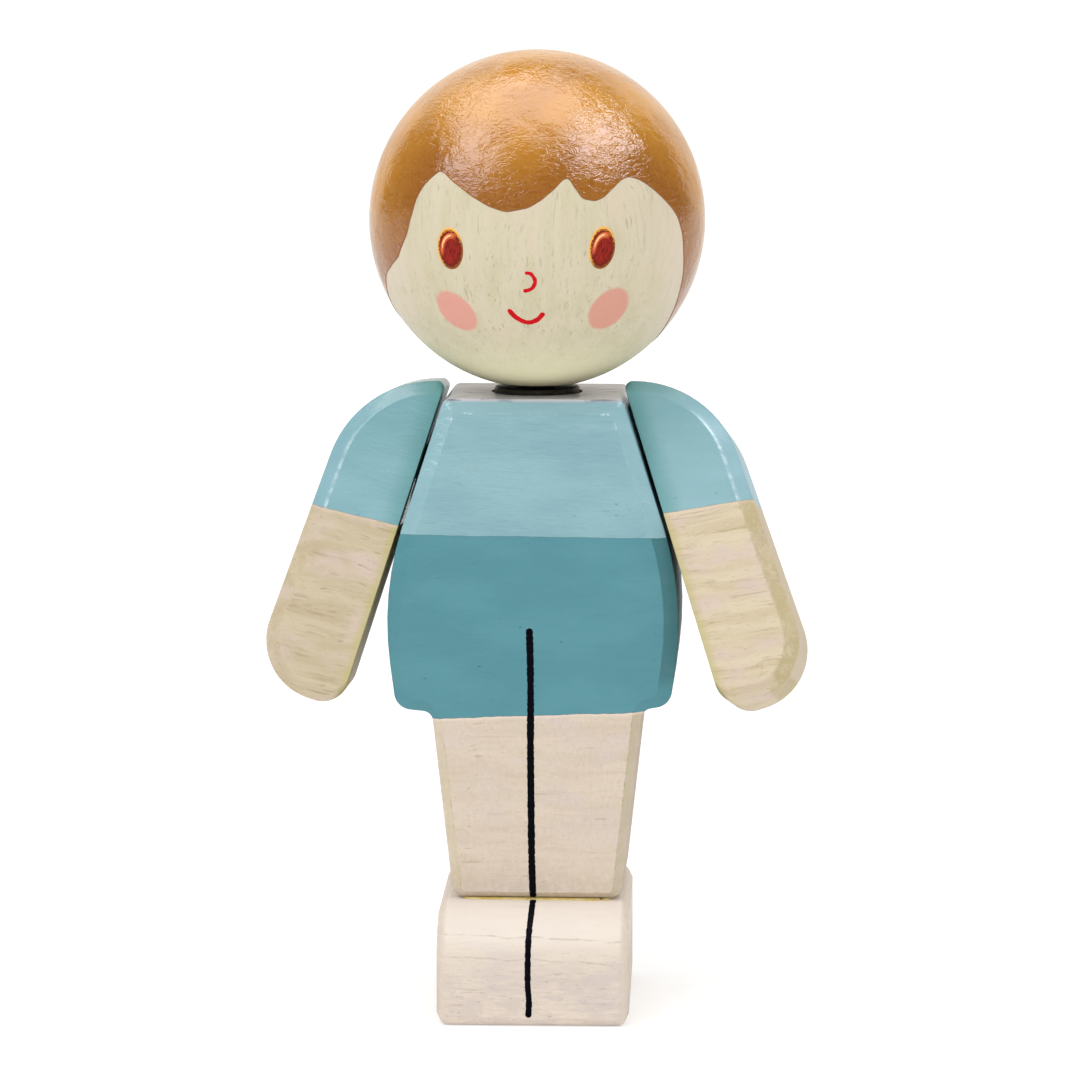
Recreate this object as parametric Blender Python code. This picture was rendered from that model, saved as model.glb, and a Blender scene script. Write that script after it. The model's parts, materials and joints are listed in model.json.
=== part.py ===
"""Wooden doll's-house figure with a turning ball head and two swinging arms.

Metres, +Z up. The figure faces -Y and stands on the floor at the origin.
Left and right are the figure's own: its left arm is at +X.
"""

import math

import bmesh
import bpy
from mathutils import Matrix, Vector

# Foot block: width across both feet, height, how far it reaches before and behind the middle,
# and how far it was glued on askew
foot_width = 0.0182
foot_height = 0.01105
toe_reach = 0.0132
heel_reach = 0.0104
instep_radius = 0.0056
sole_edge_radius = 0.0009
heel_edge_radius = 0.0015
foot_rim_width = 0.0012
foot_rim_depth = 0.0011
foot_turn = math.radians(1.2)

# Torso and legs, sawn from one board: half widths from the middle, heights above the leg end.
# Below the waist it is sawn a little askew: the legs stand off the middle and the hip line slopes up to +X.
board_thickness = 0.0160
board_rim_width = 0.00145
board_rim_depth = 0.00075
leg_end_half_width = 0.0080
leg_top_half_width = 0.0100
leg_end_corner_radius = 0.0012
leg_length = 0.01795
crotch_fillet_radius = 0.0010
hip_step_width = 0.0030
hip_step_rise = 0.0004
hip_slope = math.radians(1.1)
leg_offset = 0.0004
hip_corner_radius = 0.0017
hip_flare = math.radians(7.5)
hip_round_radius = 0.0300
shoulder_half_width = 0.0084
shoulder_corner_radius = 0.00085
torso_height = 0.0297
side_lean = math.radians(18.0)

# Painted bands on the board and the sleeves, as heights
shorts_hem_drop = 0.0006
shirt_hem_rise = 0.0167
sleeve_length = 0.0130

# Head, a turned ball
head_width = 0.0320
head_height = 0.0322
head_clearance = 0.0003
head_segments = 48

# Arms: depth front to back, thickness at the hand and at the shoulder, reach below and above the pivot.
# The pivots are drilled by hand, so the left one is a little lower.
arm_depth = 0.0130
arm_rim_depth = 0.0014
arm_outer_rim_width = 0.0015
arm_inner_rim_width = 0.0005
arm_hand_thickness = 0.0092
arm_shoulder_thickness = 0.0081
arm_reach = 0.0245
arm_rise = 0.0083
arm_inner_corner_radius = 0.0007
arm_shoulder_radius = 0.0105
hand_outer_radius = 0.0058
hand_inner_radius = 0.0026
arm_gap = 0.0003
left_pivot_drop = 0.0080
right_pivot_drop = 0.0073
left_arm_forward = math.radians(14.0)
right_arm_forward = math.radians(4.5)

# Snap joints, alike at the neck and both shoulders
socket_diameter = 0.0074
socket_length = 0.0050
socket_wall = 0.0010
socket_lip = 0.0012
bead_diameter = 0.0048
bead_length = 0.0020
stem_diameter = 0.0036
shank_diameter = 0.0050
shoulder_shank_length = 0.0062
neck_shank_length = 0.0048
collar_diameter = 0.0081
collar_height = 0.0011
collar_inset = 0.0006

# Dowels that hold the foot block on the legs
foot_dowel_diameter = 0.0050
foot_dowel_depth = 0.0058
foot_dowel_offset = 0.0040

# Clearances and fineness of round shapes
fit_gap = 0.0003
glue_gap = 0.0002
arc_tolerance = 0.000015
fillet_room = 0.98
peg_segments = 28
round_over_segments = 4

# Heights that follow from the sizes above
leg_end = foot_height + glue_gap
torso_top = leg_end + leg_length + torso_height
head_bottom = torso_top + head_clearance
head_centre = head_bottom + head_height / 2


def clear_scene():
    """Remove whatever objects the scene holds."""
    for thing in list(bpy.data.objects):
        bpy.data.objects.remove(thing, do_unlink=True)


def make_material(name, colour, roughness, metallic=0.0):
    """A Principled material of one colour, given as linear red, green and blue."""
    material = bpy.data.materials.new(name)
    material.use_nodes = True
    shader = material.node_tree.nodes["Principled BSDF"]
    shader.inputs["Base Color"].default_value = (*colour, 1.0)
    shader.inputs["Roughness"].default_value = roughness
    shader.inputs["Metallic"].default_value = metallic
    material.diffuse_color = (*colour, 1.0)
    return material


def add_object(name, shape, materials, location=(0.0, 0.0, 0.0), rotation=None, parent=None):
    """Turn a bmesh into a named object, smooth on its round faces."""
    mesh = bpy.data.meshes.new(name)
    shape.to_mesh(mesh)
    shape.free()
    for material in materials:
        mesh.materials.append(material)
    mesh.shade_smooth()
    mesh.set_sharp_from_angle(angle=math.radians(35.0))
    thing = bpy.data.objects.new(name, mesh)
    bpy.context.scene.collection.objects.link(thing)
    thing.location = location
    if rotation is not None:
        thing.rotation_euler = rotation
    thing.parent = parent
    return thing


def add_pivot(name, location, rotation):
    """An empty on a joint's axis; its local Z is the axis."""
    pivot = bpy.data.objects.new(name, None)
    bpy.context.scene.collection.objects.link(pivot)
    pivot.empty_display_size = 0.004
    pivot.location = location
    pivot.rotation_euler = rotation
    return pivot


def arc_steps(radius, angle):
    """How many chords keep an arc within the tolerance."""
    chord_angle = 2 * math.acos(1 - min(arc_tolerance / radius, 0.5))
    return max(2, math.ceil(angle / chord_angle))


def corner_sides(corners):
    """Each corner's place, the directions from it to its neighbours, and half the angle between them."""
    count = len(corners)
    places = [Vector(corner[:2]) for corner in corners]
    to_before = [(places[i - 1] - places[i]).normalized() for i in range(count)]
    to_after = [(places[(i + 1) % count] - places[i]).normalized() for i in range(count)]
    halves = [to_before[i].angle(to_after[i]) / 2 for i in range(count)]
    return places, to_before, to_after, halves


def fit_radii(corners):
    """The same (x, y, radius) corners, with an arc shrunk where an edge lacks room for it."""
    places, _, _, halves = corner_sides(corners)
    count = len(corners)
    wanted = [corners[i][2] / math.tan(halves[i]) for i in range(count)]
    share = [fillet_room * (places[i] - places[i - 1]).length / (wanted[i] + wanted[i - 1]) for i in range(count)]
    fitted = []
    for i, (x, y, radius) in enumerate(corners):
        fitted.append((x, y, radius * min(1.0, share[i], share[(i + 1) % count])))
    return fitted


def inset_corners(corners, insets):
    """Move each side inward by its own distance, from the side after the first corner on."""
    places, to_before, to_after, _ = corner_sides(corners)
    moved = []
    for i, place in enumerate(places):
        arriving = -to_before[i]
        leaving = to_after[i]
        bend = arriving.cross(leaving)
        start = place + Vector((-arriving.y, arriving.x)) * insets[i - 1]
        crossed = place + Vector((-leaving.y, leaving.x)) * insets[i]
        point = start + arriving * (crossed - start).cross(leaving) / bend
        tightening = math.copysign((insets[i - 1] + insets[i]) / 2, bend)
        moved.append((point.x, point.y, max(0.0, corners[i][2] - tightening)))
    return moved


def corner_steps(corners):
    """How many chords each corner's arc takes."""
    halves = corner_sides(corners)[3]
    return [arc_steps(corner[2], math.pi - 2 * half) for corner, half in zip(corners, halves)]


def draw_outline(corners, steps):
    """Points along an outline, counter-clockwise, with a number of chords for each corner's arc."""
    points = []
    for place, before, after, half, corner, chords in zip(*corner_sides(corners), corners, steps):
        radius = corner[2]
        centre = place + (before + after).normalized() * radius / math.sin(half)
        start = place + before * radius / math.tan(half) - centre
        sweep = math.pi - 2 * half
        turn = 1.0 if before.cross(after) < 0 else -1.0
        for step in range(chords + 1):
            spoke = start.copy()
            spoke.rotate(Matrix.Rotation(turn * sweep * step / chords, 2))
            points.append(centre + spoke)
    return points


def routed_block(corners, depth, rim_widths, rim_depth):
    """A board sawn to a rounded outline in X and Z, then routed round along its front and back rims.

    Each side has its own rim width, and a corner that is rounder than its rim is wide keeps an arc.
    """
    fitted = fit_radii(corners)
    steps = corner_steps(fitted)
    profile = []
    for step in range(round_over_segments + 1):
        angle = math.pi / 2 * step / round_over_segments
        profile.append((1 - math.cos(angle), depth / 2 - rim_depth * (1 - math.sin(angle))))
    front = [(share, -height) for share, height in reversed(profile)]
    shape = bmesh.new()
    rings = []
    for share, height in front + profile:
        inset = inset_corners(fitted, [width * share for width in rim_widths])
        rings.append([shape.verts.new((point.x, height, point.y)) for point in draw_outline(inset, steps)])
    shape.faces.new(rings[0])
    shape.faces.new(rings[-1])
    for one, other in zip(rings, rings[1:]):
        for i in range(len(one)):
            shape.faces.new((one[i - 1], one[i], other[i], other[i - 1]))
    bmesh.ops.remove_doubles(shape, verts=shape.verts[:], dist=0.000001)
    bmesh.ops.recalc_face_normals(shape, faces=shape.faces[:])
    return shape


def turned(profile, segments):
    """A solid of revolution about Z; the profile runs from the lower axis point to the upper one."""
    shape = bmesh.new()
    verts = [shape.verts.new((radius, 0.0, height)) for radius, height in profile]
    edges = [shape.edges.new(pair) for pair in zip(verts, verts[1:])]
    bmesh.ops.spin(
        shape,
        geom=verts + edges,
        cent=(0.0, 0.0, 0.0),
        axis=(0.0, 0.0, 1.0),
        angle=2 * math.pi,
        steps=segments,
        use_merge=True,
    )
    bmesh.ops.remove_doubles(shape, verts=shape.verts[:], dist=0.000002)
    bmesh.ops.recalc_face_normals(shape, faces=shape.faces[:])
    return shape


def cut_bore(thing, name, diameter, depth, location, rotation=(0.0, 0.0, 0.0), parent=None):
    """Bore a blind hole of a depth along local Z; the drill's middle is at the hole's mouth."""
    radius = diameter / 2
    profile = [(0.0, -depth), (radius, -depth), (radius, depth), (0.0, depth)]
    drill = add_object(name, turned(profile, peg_segments), [], location, rotation, parent)
    drill.display_type = "WIRE"
    drill.hide_render = True
    cut = thing.modifiers.new(name, "BOOLEAN")
    cut.operation = "DIFFERENCE"
    cut.solver = "EXACT"
    cut.object = drill


def band_materials(shape, cuts):
    """Split a shape at planes and give each face the number of planes that it lies beyond."""
    for point, normal in cuts:
        geometry = shape.verts[:] + shape.edges[:] + shape.faces[:]
        bmesh.ops.bisect_plane(shape, geom=geometry, dist=0.0000001, plane_co=point, plane_no=normal)
    for face in shape.faces:
        middle = face.calc_center_median()
        face.material_index = sum((middle - Vector(point)).dot(Vector(normal)) > 0 for point, normal in cuts)


def side_point(drop):
    """A point on the torso's leaning side at +X, measured along the side from its top edge."""
    return Vector((shoulder_half_width + drop * math.sin(side_lean), 0.0, torso_top - drop * math.cos(side_lean)))


def shoulder_turn(sign):
    """Rotation that points local Z squarely out of the leaning side, at +X for 1 and -X for -1."""
    return (0.0, sign * (math.pi / 2 - side_lean), 0.0)


def board_side_corners(sign):
    """The corners of one side of the torso and legs from the leg end up, at +X for 1 and -X for -1."""
    slope = sign * math.tan(hip_slope)
    hip_inner = Vector((leg_top_half_width, leg_end + leg_length + leg_top_half_width * slope))
    hip_outer = hip_inner + Vector((hip_step_width, hip_step_rise + hip_step_width * slope))
    lean = math.tan(side_lean)
    flare = math.tan(hip_flare)
    climb = (shoulder_half_width + lean * (torso_top - hip_outer.y) - hip_outer.x) / (flare + lean)
    widest = hip_outer + Vector((flare * climb, climb))
    return [
        (leg_offset + sign * leg_end_half_width, leg_end, leg_end_corner_radius),
        (leg_offset + sign * hip_inner.x, hip_inner.y, crotch_fillet_radius),
        (sign * hip_outer.x, hip_outer.y, hip_corner_radius),
        (sign * widest.x, widest.y, hip_round_radius),
        (sign * shoulder_half_width, torso_top, shoulder_corner_radius),
    ]


def make_board(shirt, shorts, bare_wood):
    """Torso and legs in one piece, with the bores for its pegs and dowels."""
    corners = board_side_corners(1) + board_side_corners(-1)[::-1]
    shape = routed_block(corners, board_thickness, [board_rim_width] * len(corners), board_rim_depth)
    shorts_line = leg_end + leg_length - shorts_hem_drop
    shirt_line = leg_end + leg_length + shirt_hem_rise
    up = (0.0, 0.0, 1.0)
    band_materials(shape, [((0.0, 0.0, shorts_line), up), ((0.0, 0.0, shirt_line), up)])
    board = add_object("torso_and_legs", shape, [bare_wood, shorts, shirt])
    cut_bore(
        board,
        "neck_bore",
        shank_diameter + 2 * fit_gap,
        collar_inset + neck_shank_length + fit_gap,
        (0.0, 0.0, torso_top),
    )
    cut_bore(
        board,
        "collar_bore",
        collar_diameter + 2 * fit_gap,
        collar_inset + fit_gap,
        (0.0, 0.0, torso_top),
    )
    for side, sign, drop in (("left", 1, left_pivot_drop), ("right", -1, right_pivot_drop)):
        mouth = side_point(drop)
        cut_bore(
            board,
            side + "_shoulder_bore",
            shank_diameter + 2 * fit_gap,
            shoulder_shank_length + 2 * fit_gap,
            (sign * mouth.x, mouth.y, mouth.z),
            shoulder_turn(sign),
        )
        cut_bore(
            board,
            side + "_leg_bore",
            foot_dowel_diameter + 2 * fit_gap,
            foot_dowel_depth + fit_gap,
            (sign * foot_dowel_offset, 0.0, leg_end),
        )
    return board


def make_foot_block(bare_wood):
    """One block for both feet: upright toe, rounded instep, flat top under the legs."""
    corners = [
        (toe_reach, 0.0, sole_edge_radius),
        (toe_reach, foot_height, instep_radius),
        (-heel_reach, foot_height, heel_edge_radius),
        (-heel_reach, 0.0, sole_edge_radius),
    ]
    shape = routed_block(corners, foot_width, [foot_rim_width] * len(corners), foot_rim_depth)
    bmesh.ops.rotate(shape, verts=shape.verts[:], matrix=Matrix.Rotation(foot_turn - math.pi / 2, 3, "Z"))
    block = add_object("foot_block", shape, [bare_wood])
    for side, sign in (("left", 1), ("right", -1)):
        cut_bore(
            block,
            side + "_foot_bore",
            foot_dowel_diameter + 2 * fit_gap,
            foot_dowel_depth + fit_gap,
            (sign * foot_dowel_offset, 0.0, foot_height),
        )
    return block


def make_foot_dowels(dowel_wood):
    """Two plain dowels, half in the legs and half in the foot block."""
    radius = foot_dowel_diameter / 2
    bottom = foot_height - foot_dowel_depth
    top = leg_end + foot_dowel_depth
    profile = [(0.0, bottom), (radius, bottom), (radius, top), (0.0, top)]
    for side, sign in (("left", 1), ("right", -1)):
        shape = turned(profile, peg_segments)
        add_object(side + "_foot_dowel", shape, [dowel_wood], (sign * foot_dowel_offset, 0.0, 0.0))


def make_peg(name, shank_length, mouth, has_collar, plastic, location, rotation):
    """A snap peg: shank below its origin, stem and bead above, the bead just inside a socket's lip."""
    shank = shank_diameter / 2
    stem = stem_diameter / 2
    bead = bead_diameter / 2
    collar = collar_diameter / 2
    chamfer = (bead - stem) / 2
    bead_start = mouth + socket_lip + fit_gap
    bead_end = bead_start + bead_length
    if has_collar:
        shoulder = collar_height - collar_inset
        middle = [(shank, -collar_inset), (collar, -collar_inset), (collar, shoulder), (stem, shoulder)]
    else:
        middle = [(shank, 0.0), (stem, 0.0)]
    profile = [
        (0.0, -shank_length),
        (shank, -shank_length),
        *middle,
        (stem, bead_start),
        (bead, bead_start + chamfer),
        (bead, bead_end - chamfer),
        (bead - 2 * chamfer, bead_end),
        (0.0, bead_end),
    ]
    return add_object(name, turned(profile, peg_segments), [plastic], location, rotation)


def make_socket(name, plastic, location, rotation, parent):
    """A cup pressed into a moving piece; its mouth is at its origin and its lip holds the bead."""
    outer = socket_diameter / 2
    cavity = outer - socket_wall
    throat = stem_diameter / 2 + fit_gap
    profile = [
        (0.0, socket_length - socket_wall),
        (cavity, socket_length - socket_wall),
        (cavity, socket_lip),
        (throat, socket_lip),
        (throat, 0.0),
        (outer, 0.0),
        (outer, socket_length),
        (0.0, socket_length),
    ]
    return add_object(name, turned(profile, peg_segments), [plastic], location, rotation, parent)


def make_head(bare_wood, plastic):
    """The ball, bored from below, on a pivot that stands on the neck's axis, and its peg in the torso."""
    pivot = add_pivot("neck_axis", (0.0, 0.0, torso_top), (0.0, 0.0, 0.0))
    rings = head_segments // 2
    profile = []
    for ring in range(rings + 1):
        angle = -math.pi / 2 + math.pi * ring / rings
        height = head_centre - torso_top + head_height / 2 * math.sin(angle)
        profile.append((head_width / 2 * math.cos(angle) if 0 < ring < rings else 0.0, height))
    ball = add_object("head", turned(profile, head_segments), [bare_wood], parent=pivot)
    mouth = collar_height - collar_inset + fit_gap
    cut_bore(
        ball,
        "head_bore",
        socket_diameter + 2 * fit_gap,
        mouth + socket_length + fit_gap,
        (0.0, 0.0, 0.0),
        parent=pivot,
    )
    make_socket("head_socket", plastic, (0.0, 0.0, mouth), (0.0, 0.0, 0.0), pivot)
    make_peg(
        "neck_peg",
        neck_shank_length + collar_inset,
        mouth,
        True,
        plastic,
        (0.0, 0.0, torso_top),
        (0.0, 0.0, 0.0),
    )


def arm_corners():
    """The arm seen from the front for the figure's left: X outward from its inner face, Z up from its pivot."""
    slope = math.tan(side_lean)
    return [
        (0.0, -arm_reach, hand_inner_radius),
        (arm_hand_thickness, -arm_reach, hand_outer_radius),
        (arm_shoulder_thickness, arm_rise - arm_shoulder_thickness * slope, arm_shoulder_radius),
        (0.0, arm_rise, arm_inner_corner_radius),
    ]


def make_arm(side, sign, drop, forward, sleeve, bare_wood, plastic):
    """One arm with its socket, on a pivot square to the torso's leaning side."""
    mouth = side_point(drop)
    outward = Vector((math.cos(side_lean), 0.0, math.sin(side_lean)))
    seat = mouth + outward * arm_gap
    pivot = add_pivot(side + "_shoulder_axis", (sign * seat.x, 0.0, seat.z), shoulder_turn(sign))
    rim_widths = [arm_outer_rim_width, arm_outer_rim_width, arm_outer_rim_width, arm_inner_rim_width]
    shape = routed_block(arm_corners(), arm_depth, rim_widths, arm_rim_depth)
    band_materials(shape, [((0.0, 0.0, arm_rise - sleeve_length), (0.0, 0.0, 1.0))])
    if sign < 0:
        bmesh.ops.scale(shape, vec=(-1.0, 1.0, 1.0), verts=shape.verts[:])
        bmesh.ops.reverse_faces(shape, faces=shape.faces[:])
    upright = Matrix.Rotation(-sign * math.pi / 2, 3, "Y")
    swing = Matrix.Rotation(-sign * forward, 3, "Z")
    bmesh.ops.transform(shape, matrix=swing @ upright, verts=shape.verts[:])
    arm = add_object(side + "_arm", shape, [bare_wood, sleeve], parent=pivot)
    cut_bore(
        arm,
        side + "_arm_bore",
        socket_diameter + 2 * fit_gap,
        socket_length + 2 * fit_gap,
        (0.0, 0.0, 0.0),
        parent=pivot,
    )
    make_socket(side + "_arm_socket", plastic, (0.0, 0.0, fit_gap), (0.0, 0.0, 0.0), pivot)
    make_peg(
        side + "_shoulder_peg",
        shoulder_shank_length,
        arm_gap + fit_gap,
        False,
        plastic,
        (sign * mouth.x, 0.0, mouth.z),
        shoulder_turn(sign),
    )


def main():
    clear_scene()
    bare_wood = make_material("bare_wood", (0.66, 0.55, 0.41), 0.5)
    limed_wood = make_material("limed_wood", (0.72, 0.63, 0.52), 0.5)
    shirt = make_material("pale_blue_paint", (0.28, 0.48, 0.55), 0.3)
    shorts = make_material("teal_paint", (0.11, 0.28, 0.32), 0.35)
    face = make_material("face_stain", (0.65, 0.62, 0.45), 0.35)
    plastic = make_material("black_nylon", (0.01, 0.01, 0.01), 0.35)
    dowel_wood = make_material("dowel_wood", (0.60, 0.45, 0.28), 0.6)

    make_board(shirt, shorts, limed_wood)
    make_foot_block(limed_wood)
    make_foot_dowels(dowel_wood)
    make_head(face, plastic)
    make_arm("left", 1, left_pivot_drop, left_arm_forward, shirt, bare_wood, plastic)
    make_arm("right", -1, right_pivot_drop, right_arm_forward, shirt, bare_wood, plastic)


main()
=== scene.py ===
"""Looks of a wooden doll's-house figure: stained and painted ball head, painted board, arms and foot block.

Metres, +Z up. The figure faces -Y. Left and right are its own: its left arm is at +X.
"""

import json
import math

import bmesh
import bpy
import numpy as np
from mathutils import Matrix, Vector


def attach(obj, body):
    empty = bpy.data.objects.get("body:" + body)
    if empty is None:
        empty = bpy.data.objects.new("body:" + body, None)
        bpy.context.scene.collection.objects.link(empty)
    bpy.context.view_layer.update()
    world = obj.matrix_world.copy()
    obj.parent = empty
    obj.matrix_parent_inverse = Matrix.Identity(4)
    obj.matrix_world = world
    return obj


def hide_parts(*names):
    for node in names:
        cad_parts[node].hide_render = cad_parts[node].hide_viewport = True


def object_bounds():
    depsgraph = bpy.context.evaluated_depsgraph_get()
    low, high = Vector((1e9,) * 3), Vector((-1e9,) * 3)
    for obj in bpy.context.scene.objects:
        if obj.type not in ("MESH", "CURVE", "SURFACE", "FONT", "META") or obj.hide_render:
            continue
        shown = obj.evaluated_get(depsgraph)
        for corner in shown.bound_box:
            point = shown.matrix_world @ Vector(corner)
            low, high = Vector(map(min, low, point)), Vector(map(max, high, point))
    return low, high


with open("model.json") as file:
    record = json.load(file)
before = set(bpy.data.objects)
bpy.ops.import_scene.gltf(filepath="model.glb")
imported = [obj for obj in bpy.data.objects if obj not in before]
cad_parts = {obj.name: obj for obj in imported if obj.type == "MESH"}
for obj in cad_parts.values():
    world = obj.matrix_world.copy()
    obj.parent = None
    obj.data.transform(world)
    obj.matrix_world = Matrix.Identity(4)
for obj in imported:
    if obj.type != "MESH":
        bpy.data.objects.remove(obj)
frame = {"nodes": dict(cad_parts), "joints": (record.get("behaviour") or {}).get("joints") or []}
nodes = frame["nodes"]
joints = {joint["name"]: joint for joint in frame["joints"]}
cad_low, cad_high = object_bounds()

MM = 0.001
weld = 0.002 * MM

# Sizes of the wooden pieces, as in the solids
foot_width = 18.2 * MM
foot_height = 11.05 * MM
toe_reach = 13.2 * MM
heel_reach = 10.4 * MM
instep_radius = 5.6 * MM
foot_turn = math.radians(1.2)
board_thickness = 16.0 * MM
leg_end = 11.25 * MM
leg_end_half_width = 8.0 * MM
leg_top_half_width = 10.0 * MM
leg_length = 17.95 * MM
leg_offset = 0.4 * MM
hip_step_width = 3.0 * MM
hip_step_rise = 0.4 * MM
hip_slope = math.radians(1.1)
hip_flare = math.radians(7.5)
torso_top = 58.9 * MM
shoulder_half_width = 8.4 * MM
side_lean = math.radians(18.0)
arm_depth = 13.0 * MM
arm_reach = 24.5 * MM
arm_rise = 8.3 * MM
arm_hand_thickness = 9.2 * MM
arm_shoulder_thickness = 8.1 * MM
head_radius = 16.0 * MM
head_half_height = 16.1 * MM
head_centre = Vector((0.0, 0.0, cad_high.z - head_half_height))

# The bare ball lies a little inside the solid, and the hair's paint stands on it
ball_inset = 0.07 * MM
hair_thickness = 0.05 * MM

# Width of the flat border inside a routed rim, which keeps the faces' light even
flat_border = 0.12 * MM

# Bores, as in the solids: radius and depth
neck_bore = (2.8 * MM, 5.7 * MM)
collar_bore = (4.35 * MM, 0.9 * MM)
head_bore = (4.0 * MM, 6.1 * MM)
shoulder_bore = (2.8 * MM, 6.8 * MM)
arm_bore = (4.0 * MM, 5.6 * MM)
foot_bore = (2.8 * MM, 6.1 * MM)
foot_bore_offset = 4.0 * MM

# Painted lines, as heights on the board
shirt_hem = 45.95 * MM
shorts_hem = 28.85 * MM


# Shader helpers


class Value:
    """What a node puts out; +, -, * and / on it add a node, a vector one where the other side is a tuple."""

    def __init__(self, wiring, socket):
        self.wiring = wiring
        self.socket = socket

    def reckon(self, operation, first, second):
        step = self.wiring.vector if isinstance(second, tuple) else self.wiring.math
        return step(operation, first, second)

    def __add__(self, other):
        return self.reckon("ADD", self, other)

    def __radd__(self, other):
        return self.reckon("ADD", other, self)

    def __sub__(self, other):
        return self.reckon("SUBTRACT", self, other)

    def __rsub__(self, other):
        return self.reckon("SUBTRACT", other, self)

    def __mul__(self, other):
        return self.reckon("MULTIPLY", self, other)

    def __truediv__(self, other):
        return self.reckon("DIVIDE", self, other)


class Wiring:
    """Adds nodes to a tree and joins them, so that a material reads from top to bottom."""

    def __init__(self, tree):
        self.tree = tree

    def node(self, kind, **settings):
        made = self.tree.nodes.new(kind)
        for name, value in settings.items():
            setattr(made, name, value)
        return made

    def join(self, source, socket):
        if isinstance(source, Value):
            self.tree.links.new(source.socket, socket)
        elif source is not None:
            socket.default_value = source

    def fill(self, sockets, **sources):
        """Join or set inputs by name; an underscore stands for a space."""
        for name, source in sources.items():
            self.join(source, sockets[name.replace("_", " ")])

    def read(self, kind, output, **settings):
        """An output of a node that needs no inputs."""
        return Value(self, self.node(kind, **settings).outputs[output])

    def made(self, kind, sources, output=0, **settings):
        """An output of a new node, its inputs filled in order."""
        made = self.node(kind, **settings)
        for source, socket in zip(sources, made.inputs):
            self.join(source, socket)
        return Value(self, made.outputs[output])

    def math(self, operation, *sources):
        return self.made("ShaderNodeMath", sources, operation=operation)

    def vector(self, operation, first, second=None, scale=None):
        output = "Value" if operation in ("DOT_PRODUCT", "LENGTH") else "Vector"
        return self.made("ShaderNodeVectorMath", (first, second, None, scale), output, operation=operation)

    def noise(self, place, scale, detail=2.0, roughness=0.5, distortion=0.0):
        made = self.node("ShaderNodeTexNoise")
        values = {"Vector": place, "Scale": scale, "Detail": detail, "Roughness": roughness}
        self.fill(made.inputs, **values, Distortion=distortion)
        return Value(self, made.outputs["Fac"])

    def cells(self, place, scale):
        """Distance and colour of the cells of a Voronoi pattern."""
        made = self.node("ShaderNodeTexVoronoi", feature="F1", distance="EUCLIDEAN")
        self.fill(made.inputs, Vector=place, Scale=scale)
        return Value(self, made.outputs["Distance"]), Value(self, made.outputs["Color"])

    def ramp(self, value, low, high, start=0.0, end=1.0, smooth=True):
        shape = "SMOOTHSTEP" if smooth else "LINEAR"
        return self.made("ShaderNodeMapRange", (value, low, high, start, end), interpolation_type=shape)

    def mix(self, factor, first, second):
        made = self.node("ShaderNodeMix", data_type="RGBA")
        for source, place in ((factor, 0), (first, 6), (second, 7)):
            self.join(source, made.inputs[place])
        return Value(self, made.outputs[2])

    def layers(self, colour, *coats):
        """A colour under coats, each a mask and a colour, the last on top."""
        for mask, coat in coats:
            colour = self.mix(mask, colour, coat)
        return colour

    def parts(self, place):
        made = self.node("ShaderNodeSeparateXYZ")
        self.join(place, made.inputs[0])
        return [Value(self, part) for part in made.outputs]

    def place(self, x, y, z):
        return self.made("ShaderNodeCombineXYZ", (x, y, z))

    def use(self, group, **inputs):
        made = self.node("ShaderNodeGroup", node_tree=group)
        self.fill(made.inputs, **inputs)
        return [Value(self, result) for result in made.outputs]

    def bump(self, height, distance, strength=1.0, under=None):
        made = self.node("ShaderNodeBump")
        self.fill(made.inputs, Height=height, Distance=distance, Strength=strength, Normal=under)
        return Value(self, made.outputs["Normal"])


def new_group(name, vectors, colours, numbers, outputs):
    """An empty shader node group; numbers come with their values, outputs with their kinds."""
    group = bpy.data.node_groups.new(name, "ShaderNodeTree")
    inputs = [(label, "vector", None) for label in vectors] + [(label, "colour", None) for label in colours]
    inputs += [(label, "number", value) for label, value in numbers.items()]
    kinds = {"number": "NodeSocketFloat", "colour": "NodeSocketColor", "vector": "NodeSocketVector"}
    for label, kind, value in inputs:
        socket = group.interface.new_socket(label, in_out="INPUT", socket_type=kinds[kind])
        if value is not None:
            socket.default_value = value
    for label, kind in outputs.items():
        group.interface.new_socket(label, in_out="OUTPUT", socket_type=kinds[kind])
    w = Wiring(group)
    given = {socket.name: Value(w, socket) for socket in w.node("NodeGroupInput").outputs}
    return group, w, given, w.node("NodeGroupOutput").inputs


def srgb(red, green, blue):
    """A colour as written in everyday 0 to 255 values, made linear."""
    def linear(value):
        value = value / 255
        return value / 12.92 if value <= 0.04045 else ((value + 0.055) / 1.055) ** 2.4

    return (linear(red), linear(green), linear(blue), 1.0)


def make_pore_group():
    """Short dark dashes along local X, as the open pores of rubberwood show."""
    numbers = {"Length": 4.0, "Width": 0.35, "Share": 0.3, "Size": 0.24}
    group, w, given, result = new_group("wood_pores", ["Place"], [], numbers, {"Mask": "number"})
    x, y, z = w.parts(given["Place"])
    bend = (w.noise(given["Place"], 0.25, 1.0) - 0.5) * 1.6
    cell = w.place(x / given["Length"], (y + bend) / given["Width"], (z + bend) / given["Width"])
    distance, cell_colour = w.cells(cell, 1.0)
    chosen = w.math("LESS_THAN", w.parts(cell_colour)[0], given["Share"])
    w.fill(result, Mask=chosen * w.ramp(distance, given["Size"], given["Size"] * 0.55))
    return group


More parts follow.
